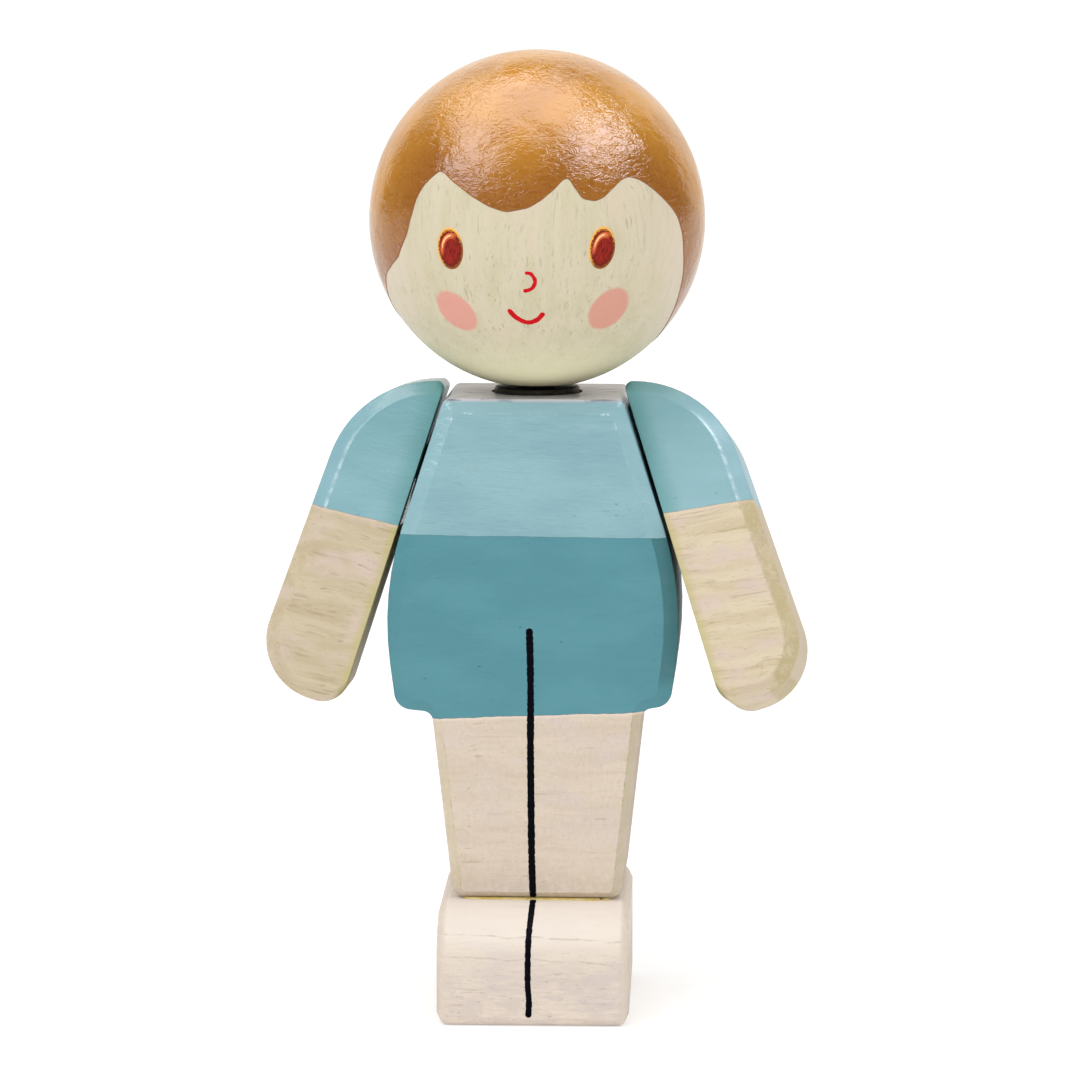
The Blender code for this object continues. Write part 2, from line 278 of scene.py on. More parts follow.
def make_wood_group(pores):
    """Pale close-grained wood with its grain along local X: tone bands, wavy fibres, grit and pores."""
    numbers = {"Pore Share": 0.25, "Pore Length": 8.0, "Pore Strength": 0.6}
    numbers |= {"Line Strength": 0.3, "Band Contrast": 0.6}
    group, w, given, result = new_group(
        "close_grained_wood", ["Place"], ["Pale", "Deep", "Patch", "Pore"], numbers,
        {"Colour": "colour", "Height": "number"},
    )
    x, y, z = w.parts(given["Place"])
    wave = (w.noise(given["Place"], 0.13, 2.0) - 0.5) * 2.4
    place = w.place(x, y + wave, z + wave)
    bands = w.noise(place * (0.06, 0.75, 0.75), 1.0, 4.0, 0.6)
    fibres = w.noise(place * (0.32, 6.0, 6.0), 1.0, 3.0, 0.7)
    lines = w.noise(place * (0.12, 2.4, 2.4), 1.0, 3.0, 0.7)
    patches = w.noise(place * (0.16, 0.34, 0.34), 1.0, 3.0, 0.55)
    grit = w.noise(place * (2.2, 5.5, 5.5), 1.0, 2.0, 0.7)
    line = w.ramp(lines, 0.56, 0.7) * given["Line Strength"]
    share = given["Pore Share"]
    long_pores = w.use(pores, Place=place, Length=given["Pore Length"], Width=0.4, Share=share, Size=0.25)[0]
    short_pores = w.use(pores, Place=place + (3.1, 7.7, 5.3), Length=1.6, Width=0.3, Share=share, Size=0.2)[0]
    marks = w.math("MAXIMUM", long_pores, short_pores * 0.7) * given["Pore Strength"]
    colour = w.layers(
        given["Pale"],
        (w.ramp(bands, 0.35, 0.68) * given["Band Contrast"], given["Deep"]),
        (w.ramp(patches, 0.48, 0.68, 0.0, 0.8), given["Patch"]),
        (w.ramp(fibres, 0.5, 0.78, 0.0, 0.35), given["Deep"]),
        (w.ramp(grit, 0.56, 0.8, 0.0, 0.3), given["Pore"]),
        (w.ramp(grit, 0.44, 0.25, 0.0, 0.4), given["Pale"]),
        (line, given["Pore"]),
        (marks, given["Pore"]),
    )
    w.fill(result, Colour=colour, Height=fibres * 0.5 - (marks + line) * 0.6)
    return group


def make_brushed_group(pores):
    """Thin paint over wood: streaks along local X, ripples and a few raised dots that catch the light."""
    numbers = {"Speck Share": 0.06, "Streaks": 0.5, "Ripples": 0.5}
    group, w, given, result = new_group(
        "thin_paint", ["Place"], ["Paint", "Light", "Dark"], numbers, {"Colour": "colour", "Height": "number"}
    )
    place = given["Place"]
    streaks = w.noise(place * (0.35, 4.0, 4.0), 1.0, 3.0, 0.65, 0.3)
    ripples = w.noise(place * (0.6, 1.7, 1.7), 1.0, 3.0, 0.6, 0.8)
    clouds = w.noise(place * (0.12, 0.3, 0.3), 1.0, 2.0, 0.5)
    grit = w.noise(place, 4.5, 2.0, 0.7)
    share = given["Speck Share"]
    specks = w.use(pores, Place=place, Length=1.3, Width=0.6, Share=share, Size=0.17)[0]
    dots = w.use(pores, Place=place + (4.0, 9.0, 2.0), Length=0.7, Width=0.55, Share=share, Size=0.2)[0]
    colour = w.layers(
        given["Paint"],
        (w.ramp(clouds, 0.35, 0.7, 0.0, 0.7), given["Light"]),
        (w.ramp(streaks, 0.55, 0.8) * given["Streaks"], given["Dark"]),
        (w.ramp(streaks, 0.42, 0.24) * given["Streaks"], given["Light"]),
        (w.ramp(grit, 0.58, 0.8, 0.0, 0.22), given["Dark"]),
        (specks * 0.6, given["Dark"]),
    )
    height = ripples * given["Ripples"] + streaks * 0.35 + dots * 0.6 - specks * 0.6
    w.fill(result, Colour=colour, Height=height)
    return group


def make_hem_group():
    """Mask of what lies above a hand-painted line, which wanders a little."""
    numbers = {"Level": 0.0, "Slope": 0.0, "Wander": 0.25, "Softness": 0.04}
    group, w, given, result = new_group("painted_hem", ["Place"], [], numbers, {"Mask": "number"})
    x, _, z = w.parts(given["Place"])
    slow = w.noise(given["Place"], 0.28, 1.0) - 0.5
    quick = w.noise(given["Place"], 1.9, 2.0) - 0.5
    rise = z - given["Level"] - x * given["Slope"] + (slow + quick * 0.45) * given["Wander"]
    w.fill(result, Mask=w.ramp(rise, given["Softness"] * -1.0, given["Softness"]))
    return group


def make_oval_group():
    """Mask of an oval on the ball's front; Across and Up are directions, over the half sizes there."""
    group, w, given, result = new_group(
        "soft_oval", ["Place", "Centre", "Across", "Up"], [], {"Softness": 0.12}, {"Mask": "number"}
    )
    away = w.vector("SUBTRACT", given["Place"], given["Centre"])
    across = w.vector("DOT_PRODUCT", away, given["Across"])
    up = w.vector("DOT_PRODUCT", away, given["Up"])
    reach = w.math("SQRT", across * across + up * up)
    rough = (w.noise(given["Place"], 2.5, 2.0) - 0.5) * 0.06
    inside = w.ramp(reach + rough, 1.0 + given["Softness"], 1.0 - given["Softness"])
    front = w.math("GREATER_THAN", w.vector("DOT_PRODUCT", given["Place"], given["Centre"]), 0.0)
    w.fill(result, Mask=inside * front)
    return group


pores = make_pore_group()
wood = make_wood_group(pores)
thin_paint = make_brushed_group(pores)
hem = make_hem_group()
soft_oval = make_oval_group()


def new_material(name):
    """A material with a Principled shader; returns it, its wiring and the shader's inputs."""
    material = bpy.data.materials.new(name)
    material.use_nodes = True
    shader = material.node_tree.nodes["Principled BSDF"]
    return material, Wiring(material.node_tree), shader.inputs


def own_place(w):
    """The place in the piece's own frame, in millimetres, kept on its mesh: X runs along the grain."""
    return w.read("ShaderNodeAttribute", "Vector", attribute_name="own_place")


def kept_number(w, name):
    """A number kept on a mesh: a block's rim from ridge 0 to side 1, its outward from -1 to 1, and such."""
    return w.read("ShaderNodeAttribute", "Fac", attribute_name=name)


def scene_place(w):
    """The place in the shared frame, in millimetres."""
    return w.vector("SCALE", w.read("ShaderNodeTexCoord", "Object"), None, 1.0 / MM)


def make_board_material():
    """Pale blue shirt, teal shorts and white-washed legs on one board."""
    material, w, shader = new_material("shirt_shorts_and_washed_legs")
    place = own_place(w)
    rim = kept_number(w, "rim")
    x, y, z = w.parts(place)
    # A mottling noise, for worn patches on the legs and for breaking up the painted glints on the shirt.
    mottle = w.noise(place, 1.3, 3.0, 0.7)
    ridge = w.ramp(rim, 0.0, 0.03) * w.ramp(rim, 0.2, 0.06)
    shirt = w.use(
        thin_paint, Place=place, Paint=srgb(127, 168, 177), Light=srgb(141, 181, 187),
        Dark=srgb(98, 143, 156), Speck_Share=0.08, Streaks=0.5, Ripples=1.3,
    )
    level = torso_top / MM
    # Where the painted glints sit: near the top of the torso and towards its corners.
    glint_near_top = w.ramp(z, level - 4.0, level - 1.5, 0.1, 1.0)
    glint_at_corner = w.ramp(w.math("ABSOLUTE", x), 4.5, 7.0, 0.1, 0.8)
    # The board's sides below their top edge, painted darker as painted shade beside the arms.
    flank_shade = w.ramp(rim, 0.97, 1.0) * w.ramp(z, level - 0.6, level - 1.4)
    # A painted reflection on the top face: pale lavender with dark streaks, as its gloss would mirror the
    # bright surroundings and the head above.
    top_reflection_streaks = w.noise(w.place(x * 0.2, y * 1.6, 0.0), 1.0, 4.0, 0.7, 0.4)
    top = w.mix(w.ramp(top_reflection_streaks, 0.5, 0.66), srgb(204, 199, 207), srgb(128, 130, 142))
    on_top = w.ramp(z, level - 0.4, level - 0.05, 0.0, 0.9)
    shirt_colour = w.layers(
        shirt[0],
        # Paler paint on the routed rim: a painted highlight where the rim faces the bright surroundings.
        (w.ramp(rim, 0.0, 0.1, 0.0, 0.35), srgb(158, 196, 204)),
        # Painted glints: pale specks along the ridge near the top corners, broken up by noise.
        (ridge * glint_near_top * (glint_at_corner * w.ramp(mottle, 0.5, 0.6)), srgb(206, 226, 230)),
        # Painted shade on the shirt's sides.
        (flank_shade * 0.3, srgb(66, 108, 118)),
        # The painted reflection on the top face.
        (on_top, top),
    )
    shorts = w.use(
        thin_paint, Place=place + (9.0, 4.0, 2.0), Paint=srgb(82, 138, 148), Light=srgb(90, 146, 155),
        Dark=srgb(48, 98, 110), Speck_Share=0.05, Streaks=0.2, Ripples=0.8,
    )
    # The rim on the board's left side, painted darker there as painted shade, since less light falls on that
    # side.
    shaded_left_rim = w.ramp(rim, 0.0, 0.1) * w.ramp(x, 6.0, 7.5)
    shorts_colour = w.layers(
        shorts[0],
        # Painted shade on the shorts' left rim.
        (shaded_left_rim * w.ramp(z, 31.2, 33.0, 0.0, 0.4), srgb(48, 88, 90)),
        # Painted shade on the shorts' sides.
        (flank_shade * 0.6, srgb(40, 84, 88)),
    )
    washed = w.use(
        wood, Place=place, Pale=srgb(212, 198, 181), Deep=srgb(198, 184, 165), Patch=srgb(208, 194, 186),
        Pore=srgb(158, 140, 116), Pore_Share=0.14, Pore_Length=6.0, Pore_Strength=0.35, Line_Strength=0.14,
        Band_Contrast=0.6,
    )
    weave = w.noise(place * (3.0, 1.0, 1.6), 1.0, 3.0, 0.7)
    band = w.ramp(rim, 0.0, 0.05) * w.ramp(rim, 0.9, 0.5)
    scuffed = w.noise(place, 3.2, 3.0, 0.7)
    low_legs = w.ramp(z, leg_end / MM + 5.0, leg_end / MM, 0.0, 0.45)
    above_shorts = w.use(hem, Place=place, Level=shorts_hem / MM, Slope=0.042, Wander=0.28, Softness=0.035)[0]
    above_shirt = w.use(hem, Place=place, Level=shirt_hem / MM, Slope=-0.008, Wander=0.16, Softness=0.035)[0]
    primer = w.use(hem, Place=place, Level=shorts_hem / MM - 0.2, Slope=0.042, Wander=0.5, Softness=0.12)[0]
    colour = w.layers(
        washed[0],
        (w.ramp(weave, 0.5, 0.72, 0.0, 0.3), srgb(184, 170, 146)),
        (w.ramp(weave, 0.45, 0.28, 0.0, 0.3), srgb(226, 214, 200)),
        (band * w.ramp(mottle, 0.38, 0.66, 0.0, 0.65), srgb(200, 192, 154)),
        # Painted shade on the legs' left rim.
        (shaded_left_rim * 0.38, srgb(172, 160, 138)),
        (ridge * w.ramp(scuffed, 0.48, 0.6) * w.ramp(mottle, 0.4, 0.6, 0.1, 0.7), srgb(166, 150, 112)),
        (low_legs * w.ramp(mottle, 0.35, 0.6), srgb(186, 172, 152)),
        (primer * 0.6, srgb(232, 214, 202)),
        (above_shorts, shorts_colour),
        (above_shirt, shirt_colour),
    )
    painted = w.math("MAXIMUM", above_shorts, above_shirt)
    coat = w.ramp(above_shirt, 0.0, 1.0, w.ramp(above_shorts, 0.0, 1.0, 0.0, 0.3), 1.0)
    dull = w.math("MAXIMUM", flank_shade, on_top * 0.75)
    fine = w.mix(above_shorts, washed[1], w.mix(above_shirt, shorts[1], shirt[1]))
    edge = w.bump(above_shorts + above_shirt * 0.8, 0.035 * MM)
    normal = w.bump(fine, 0.075 * MM, 0.8, edge)
    w.fill(
        shader, Base_Color=colour, Roughness=w.ramp(painted, 0.0, 1.0, 0.6, 0.45), Specular_IOR_Level=0.05,
        Coat_Weight=coat * (1.0 - dull), Coat_Roughness=0.12, Normal=normal, Coat_Normal=normal,
    )
    return material


def make_arm_material():
    """Painted sleeve above bare, oiled wood; the piece's own Z is measured from the sleeve's edge."""
    material, w, shader = new_material("sleeve_and_bare_arm")
    place = own_place(w)
    rim = kept_number(w, "rim")
    outward = kept_number(w, "outward")
    x, _, z = w.parts(place)
    # Picks the left arm, whose paint and bare wood are painted lighter: painted light, as that arm is raised
    # further forward and faces more of the light from above.
    left = w.ramp(x, 12.0, 24.0)
    outer = rim * w.ramp(outward, -0.1, 0.6)
    off_side = w.ramp(rim, 1.0, 0.92)
    inner = rim * off_side * w.ramp(outward, -0.7, -0.95)
    mottle = w.noise(place, 1.1, 3.0, 0.75)
    ridge = w.ramp(outer, 0.0, 0.04) * w.ramp(outer, 0.35, 0.1)
    sleeve = w.use(
        thin_paint, Place=place, Paint=w.mix(left, srgb(127, 170, 179), srgb(140, 180, 188)),
        Light=w.mix(left, srgb(138, 181, 190), srgb(152, 190, 198)), Dark=srgb(96, 145, 154),
        Speck_Share=0.05, Streaks=0.2, Ripples=0.9,
    )
    paint = w.layers(
        sleeve[0],
        (w.ramp(z, 2.0, 12.0, 0.0, 0.45), srgb(110, 162, 166)),
        # Painted shade: darker green towards the inner edge, beside the torso.
        (w.ramp(outward, -0.45, -0.98, 0.0, 0.6), srgb(92, 152, 150)),
        # Paler paint on the outer rim: a painted highlight where the rim faces the bright surroundings.
        (w.ramp(outer, 0.0, 0.1, 0.0, 0.35), srgb(144, 180, 192)),
        # A painted highlight: a pale broken line along the outer ridge, below the shoulder.
        (ridge * w.ramp(z, 9.0, 5.0) * w.ramp(mottle, 0.4, 0.62, 0.1, 0.7), srgb(206, 226, 232)),
        # Painted shade on the inner rim, in the gap beside the torso.
        (w.ramp(inner, 0.1, 0.9, 0.0, 0.8), srgb(84, 140, 136)),
    )
    bare = w.use(
        wood, Place=place, Pale=w.mix(left, srgb(200, 187, 161), srgb(212, 199, 173)),
        Deep=w.mix(left, srgb(180, 164, 133), srgb(192, 175, 143)), Patch=srgb(208, 190, 180),
        Pore=srgb(150, 132, 90), Pore_Share=0.25, Pore_Length=12.0, Pore_Strength=0.4, Line_Strength=0.38,
        Band_Contrast=0.6,
    )
    # The olive band on the outer rim: worn wash, with painted shade where it is stronger on the left arm.
    band = w.ramp(outer, 0.0, 0.2) * w.ramp(left, 0.0, 1.0, 0.2, 0.75)
    above = w.use(hem, Place=place, Level=0.0, Slope=0.0, Wander=0.2, Softness=0.04)[0]
    primer = w.use(hem, Place=place, Level=-0.25, Slope=0.0, Wander=0.5, Softness=0.15)[0]
    colour = w.layers(
        bare[0],
        # Painted shade: yellow-green towards the inner edge and dark olive on the inner rim, beside the
        # torso.
        (w.ramp(outward, -0.75, -0.98, 0.0, 0.6) * off_side, srgb(184, 176, 112)),
        (w.ramp(inner, 0.2, 1.0, 0.0, 0.7), srgb(122, 112, 66)),
        (band * w.ramp(mottle, 0.3, 0.6, 0.35, 1.0), srgb(180, 166, 124)),
        # Paler on the outer side face: a painted highlight where that face takes the side light.
        (w.ramp(outer, 0.9, 1.0, 0.0, 0.45), srgb(216, 200, 184)),
        (primer * 0.4, srgb(222, 198, 180)),
        (above, paint),
    )
    coat = above * w.ramp(inner, 0.5, 1.0, 1.0, 0.0)
    coat = coat * w.ramp(outer, 0.12, 0.25, 1.0, w.ramp(left, 0.0, 1.0, 0.45, 0.2))
    high_coat = w.ramp(z, 7.0, 10.0, 1.0, w.ramp(left, 0.0, 1.0, 0.5, 0.1))
    coat = coat * w.ramp(rim, 0.0, 0.02, 1.0, high_coat)
    normal = w.bump(w.mix(above, bare[1], sleeve[1]), 0.06 * MM, 0.8, w.bump(above, 0.035 * MM))
    w.fill(
        shader, Base_Color=colour, Roughness=w.ramp(above, 0.0, 1.0, 0.55, 0.4), Specular_IOR_Level=0.05,
        Coat_Weight=coat, Coat_Roughness=0.1, Normal=normal, Coat_Normal=normal,
    )
    return material


def make_foot_material():
    """White-washed wood, paler than the legs, with two faint creases along the instep."""
    material, w, shader = new_material("washed_foot_block")
    place = own_place(w)
    rim = kept_number(w, "rim")
    x, _, z = w.parts(place)
    washed = w.use(
        wood, Place=place, Pale=srgb(222, 210, 195), Deep=srgb(206, 194, 178), Patch=srgb(212, 200, 192),
        Pore=srgb(158, 140, 120), Pore_Share=0.12, Pore_Length=12.0, Pore_Strength=0.4, Line_Strength=0.22,
        Band_Contrast=0.2,
    )
    # Clouds and streaks for the painted shade lower down the block.
    clouds = w.noise(place * (0.3, 0.3, 0.8), 1.0, 3.0, 0.6)
    streaks = w.noise(place * (0.25, 0.25, 2.6), 1.0, 3.0, 0.7)
    streaks = w.math("MAXIMUM", w.ramp(streaks, 0.46, 0.64, 0.0, 0.55), w.ramp(clouds, 0.42, 0.62, 0.0, 0.5))
    dashes = w.noise(place * (1.2, 1.0, 9.0), 1.0, 3.0, 0.7)
    colour = w.layers(
        washed[0],
        # Paler up the instep: painted light, as the top takes more of the light from above.
        (w.ramp(z, 6.6, 8.6, 0.0, 0.75), srgb(232, 223, 213)),
        # Painted shade: darker streaks on the lower part of the block, which takes less light from above.
        (w.ramp(z, 7.0, 4.5, 0.15, 1.0) * streaks, srgb(200, 186, 182)),
        (w.ramp(dashes, 0.62, 0.68) * w.ramp(z, 5.5, 4.0, 0.0, 0.6), srgb(138, 120, 96)),
    )
    drift = w.noise(place * (0.3, 0.0, 0.0), 1.0, 2.0, 0.5)
    broken = w.noise(place * (0.7, 0.0, 3.0), 1.0, 3.0, 0.7)
    for level, slope in ((9.0, -0.03), (7.1, -0.035)):
        away = w.math("ABSOLUTE", z - level + x * -slope + w.ramp(drift, 0.3, 0.7, -0.12, 0.12))
        crease = w.ramp(away, 0.13, 0.02) * w.ramp(broken, 0.42, 0.56, 0.05, 0.5)
        colour = w.mix(crease, colour, srgb(180, 168, 150))
    mottle = w.noise(place, 1.4, 3.0, 0.7)
    on_rim = w.ramp(rim, 0.0, 0.04) * w.ramp(rim, 1.0, 0.85)
    colour = w.layers(
        colour,
        (on_rim * w.ramp(mottle, 0.35, 0.6, 0.1, 0.6), srgb(196, 186, 158)),
        (on_rim * w.ramp(rim, 0.08, 0.3, 0.0, 0.6), srgb(220, 207, 194)),
    )
    normal = w.bump(washed[1], 0.05 * MM, 0.8)
    w.fill(shader, Base_Color=colour, Roughness=0.6, Specular_IOR_Level=0.08, Normal=normal)
    return material


def ball_direction(longitude, latitude):
    """Unit vector; 0, 0 looks straight ahead, in degrees, positive to the figure's left and up."""
    east = math.radians(longitude)
    north = math.radians(latitude)
    return Vector((math.sin(east) * math.cos(north), -math.cos(east) * math.cos(north), math.sin(north)))


def surface_axes(out):
    """The directions to the figure's left and up along the ball, where out points straight out of it."""
    east = Vector((0.0, 0.0, 1.0)).cross(out).normalized()
    if east.x < 0:
        east = -east
    north = out.cross(east)
    if north.z < 0:
        north = -north
    return east, north


def ball_axes(longitude, latitude, lean):
    """Point in millimetres, and the directions across and up on the ball there; lean tips up to the left."""
    out = ball_direction(longitude, latitude)
    east, north = surface_axes(out)
    tip = math.radians(lean)
    across = east * math.cos(tip) + north * math.sin(tip)
    up = north * math.cos(tip) - east * math.sin(tip)
    return out * (head_radius / MM), across, up


def make_face_material():
    """Pale greenish stain on the turned ball, with its grain upright, and two rouged cheeks."""
    material, w, shader = new_material("stained_face")
    place = own_place(w)
    bare = w.use(
        wood, Place=place, Pale=srgb(207, 199, 174), Deep=srgb(197, 188, 156), Patch=srgb(211, 198, 175),
        Pore=srgb(146, 138, 104), Pore_Share=0.28, Pore_Length=3.2, Pore_Strength=0.42, Line_Strength=0.3,
        Band_Contrast=0.7,
    )
    height, sideways = w.parts(place)[:2]
    turning = w.noise(w.place(height * 3.4, 0.0, 0.0), 1.0, 3.0, 0.7)
    turning = w.ramp(turning, 0.55, 0.75) * w.ramp(height, -6.0, -12.0, 0.0, 0.4)
    coats = [
        # Paler and pinker towards the ball's sides: a painted reflection at the rim of the ball.
        (w.ramp(w.math("ABSOLUTE", sideways), 9.0, 15.5, 0.0, 0.7), srgb(220, 206, 188)),
        # Lighter under the chin: painted light, standing for light thrown up from the floor.
        (w.ramp(height, -9.5, -15.0, 0.0, 0.8), srgb(226, 222, 184)),
        (turning, srgb(176, 166, 132)),
    ]
    centred = w.read("ShaderNodeTexCoord", "Object") - tuple(head_centre)
    centred = w.vector("SCALE", centred, None, 1.0 / MM)
    for longitude, latitude, lean, half_width, half_height, rouge in cheeks:
        middle, across, up = ball_axes(longitude, latitude, lean)
        mask = w.use(
            soft_oval, Place=centred, Centre=tuple(middle), Across=tuple(across / half_width),
            Up=tuple(up / half_height), Softness=0.1,
        )[0]
        coats.append((mask * 0.88, rouge))
    w.fill(
        shader, Base_Color=w.layers(bare[0], *coats), Roughness=0.5, Specular_IOR_Level=0.08,
        Coat_Weight=0.15, Coat_Roughness=0.3, Normal=w.bump(bare[1] + turning, 0.035 * MM, 0.7),
    )
    return material


def make_hair_material():
    """Bronze-gold gloss paint, brushed on thickly: wormy ridges, beads by the hairline, a darker edge, and
    painted light that makes it lighter towards the crown.
    """
    material, w, shader = new_material("bronze_hair_paint")
    place = own_place(w)
    from_edge = kept_number(w, "from_hairline")
    lumps = w.noise(place, 0.42, 3.0, 0.55, 0.5)
    worms = w.noise(place * (1.5, 0.8, 0.8), 1.1, 2.0, 0.5, 1.2)
    worms = w.math("MAXIMUM", 1.0 - w.math("ABSOLUTE", (worms - 0.5) * 6.0), 0.0)
    peel = w.noise(place * (1.3, 0.9, 0.9), 1.8, 3.0, 0.6, 0.8)
    sideways = w.parts(place)[1]
    calm = w.ramp(w.noise(place, 0.2, 2.0), 0.35, 0.6, 0.35, 1.0)
    calm = calm * w.ramp(w.math("ABSOLUTE", sideways), 8.0, 11.5, 1.0, 0.35)
    clouds = w.noise(place, 0.16, 2.0, 0.5)
    beads = w.ramp(w.cells(place, 1.1)[0], 0.3, 0.1) * w.ramp(from_edge, 1.6, 0.3)
    colour = w.layers(
        srgb(142, 86, 32),
        # Lighter from the hairline towards the crown: painted light from above.
        (w.ramp(from_edge, 0.5, 8.0), srgb(196, 136, 42)),
        (w.ramp(clouds, 0.35, 0.68, 0.0, 0.5), srgb(154, 98, 36)),
        (w.ramp(peel, 0.52, 0.8, 0.0, 0.4), srgb(192, 138, 66)),
        (worms * 0.12, srgb(206, 154, 84)),
        (w.ramp(from_edge, 0.2, 0.06, 0.0, 0.75), srgb(134, 84, 44)),
    )
    rough = lumps * 1.1 + peel * calm * 0.5 + worms * calm * 0.26 + beads * 0.3
    normal = w.bump(rough, 0.12 * MM, 1.0)
    w.fill(
        shader, Base_Color=colour, Roughness=w.ramp(lumps, 0.3, 0.7, 0.5, 0.6), Specular_IOR_Level=0.0,
        Coat_Weight=1.0, Coat_Roughness=0.05, Normal=normal, Coat_Normal=normal,
    )
    return material


def make_mingled_material(name, first, second, scale, low, high, roughness, depth, **others):
    """Two tones that mingle, with a fine matching relief."""
    material, w, shader = new_material(name)
    tone = w.noise(scene_place(w), scale, 3.0, 0.6)
    colour = w.mix(w.ramp(tone, low, high), first, second)
    w.fill(shader, Base_Color=colour, Roughness=roughness, Normal=w.bump(tone, depth, 0.6), **others)
    return material


def make_stroke_material(name, paint, shade):
    """Opaque line paint, a little uneven."""
    return make_mingled_material(name, paint, shade, 3.0, 0.4, 0.75, 0.5, 0.02 * MM, Specular_IOR_Level=0.03)


def make_eye_material():
    """Printed eye: a dotted gold edge, a dark ring, a thin lit crescent and a red-brown oval."""
    material, w, shader = new_material("printed_eye")
    across, up = w.parts(w.read("ShaderNodeTexCoord", "UV"))[:2]
    across = w.ramp(across, 0.0, 1.0, -1.0, 1.0, False)
    up = w.ramp(up, 0.0, 1.0, -1.0, 1.0, False)
    place = w.place(across, up, 0.0)
    grit = w.noise(place, 11.0, 3.0, 0.75) - 0.5
    reach = w.vector("LENGTH", place) + grit * 0.14
    lit_side = w.vector("DOT_PRODUCT", place, (-0.62, 0.78, 0.0))
    inner_reach = w.vector("LENGTH", place - (0.13, -0.12, 0.0)) + grit * 0.16
    dashes = w.noise(w.place(across * 3.2, up * 1.1, 0.0), 3.0, 2.0, 0.7)
    ring = w.ramp(inner_reach, 0.56, 0.64) * w.ramp(inner_reach, 0.9, 0.82)
    thin = w.ramp(inner_reach, 0.68, 0.72) * w.ramp(inner_reach, 0.8, 0.76)
    around = w.ramp(lit_side, -0.5, 0.2, 0.15, 1.0)
    dots = w.ramp(grit, 0.0, 0.05) * w.ramp(reach, 0.78, 0.84)
    colour = w.layers(
        srgb(158, 34, 18),
        (w.ramp(dashes, 0.4, 0.62), srgb(104, 18, 10)),
        (w.ramp(reach, 0.68, 0.8, 0.0, 0.8), srgb(92, 12, 6)),
        (ring * w.ramp(lit_side, 0.0, 0.4) * 0.85, srgb(226, 112, 66)),
        (thin * w.ramp(lit_side + grit, 0.35, 0.5), srgb(250, 214, 150)),
        (dots * around, srgb(226, 150, 52)),
        (w.ramp(reach, 0.86, 0.92) * around, srgb(240, 178, 88)),
    )
    normal = w.bump(grit, 0.015 * MM, 0.5)
    w.fill(shader, Base_Color=colour, Roughness=0.5, Specular_IOR_Level=0.15, Normal=normal)
    return material


def make_plain_material(name, first, second, scale, roughness, depth, coat=0.0):
    """The moulded pegs, the dowels and the glue."""
    return make_mingled_material(name, first, second, scale, 0.35, 0.7, roughness, depth, Coat_Weight=coat)


# Longitude, latitude, lean, half width, half height and colour of the rouge
cheeks = [
    (-29.4, -29.2, 36.0, 1.8, 2.3, srgb(218, 150, 137)),
    (31.4, -28.1, -26.0, 1.9, 2.3, srgb(211, 146, 130)),
]

board_material = make_board_material()
arm_material = make_arm_material()
foot_material = make_foot_material()
face_material = make_face_material()
hair_material = make_hair_material()
eye_material = make_eye_material()
black_line = make_stroke_material("black_line_paint", srgb(5, 6, 12), srgb(12, 13, 20))
red_line = make_stroke_material("red_line_paint", srgb(206, 26, 34), srgb(178, 18, 24))
nylon = make_plain_material("black_nylon", srgb(26, 24, 14), srgb(48, 44, 34), 1.5, 0.45, 0.02 * MM)
dowel = make_plain_material("bare_dowel", srgb(206, 178, 138), srgb(184, 152, 108), 0.8, 0.6, 0.03 * MM)
glue = make_plain_material(
    "yellow_wood_glue", srgb(222, 206, 138), srgb(206, 180, 92), 1.2, 0.4, 0.02 * MM, 0.2
)


# Mesh helpers


def put_in_scene(name, data):
    """A new object at the origin."""
    thing = bpy.data.objects.new(name, data)
    bpy.context.scene.collection.objects.link(thing)
    return thing


def add_piece(name, mesh, materials, body):
    """A finished piece that rides on a body."""
    for material in materials:
        mesh.materials.append(material)
    piece = put_in_scene(name, mesh)
    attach(piece, body)
    return piece


def smooth_with_edges(mesh, degrees):
    """Smooth a mesh, apart from edges that bend by more than an angle."""
    mesh.shade_smooth()
    mesh.set_sharp_from_angle(angle=math.radians(degrees))


def keep_vectors(mesh, name, vectors):
    """Keep one vector for each point of a mesh, for its material to read."""
    attribute = mesh.attributes.new(name, "FLOAT_VECTOR", "POINT")
    attribute.data.foreach_set("vector", np.asarray(vectors, dtype=np.float32).ravel())


def keep_numbers(mesh, name, numbers):
    """Keep one number for each point of a mesh."""
    attribute = mesh.attributes.new(name, "FLOAT", "POINT")
    attribute.data.foreach_set("value", np.asarray(numbers, dtype=np.float32))


def corner_sides(corners):
    """Each corner's place, the directions from it to its neighbours, and half the angle between them."""
    count = len(corners)
    places = [Vector(corner[:2]) for corner in corners]
    to_before = [(places[i - 1] - places[i]).normalized() for i in range(count)]
    to_after = [(places[(i + 1) % count] - places[i]).normalized() for i in range(count)]
    halves = [to_before[i].angle(to_after[i]) / 2 for i in range(count)]
    return places, to_before, to_after, halves


def fit_radii(corners):
    """The same (x, y, radius) corners, with an arc shrunk where an edge lacks room for it."""
    places, _, _, halves = corner_sides(corners)
    count = len(corners)
    wanted = [corners[i][2] / math.tan(halves[i]) for i in range(count)]
    share = [0.98 * (places[i] - places[i - 1]).length / (wanted[i] + wanted[i - 1]) for i in range(count)]
    fitted = []
    for i, (x, y, radius) in enumerate(corners):
        fitted.append((x, y, radius * min(1.0, share[i], share[(i + 1) % count])))
    return fitted


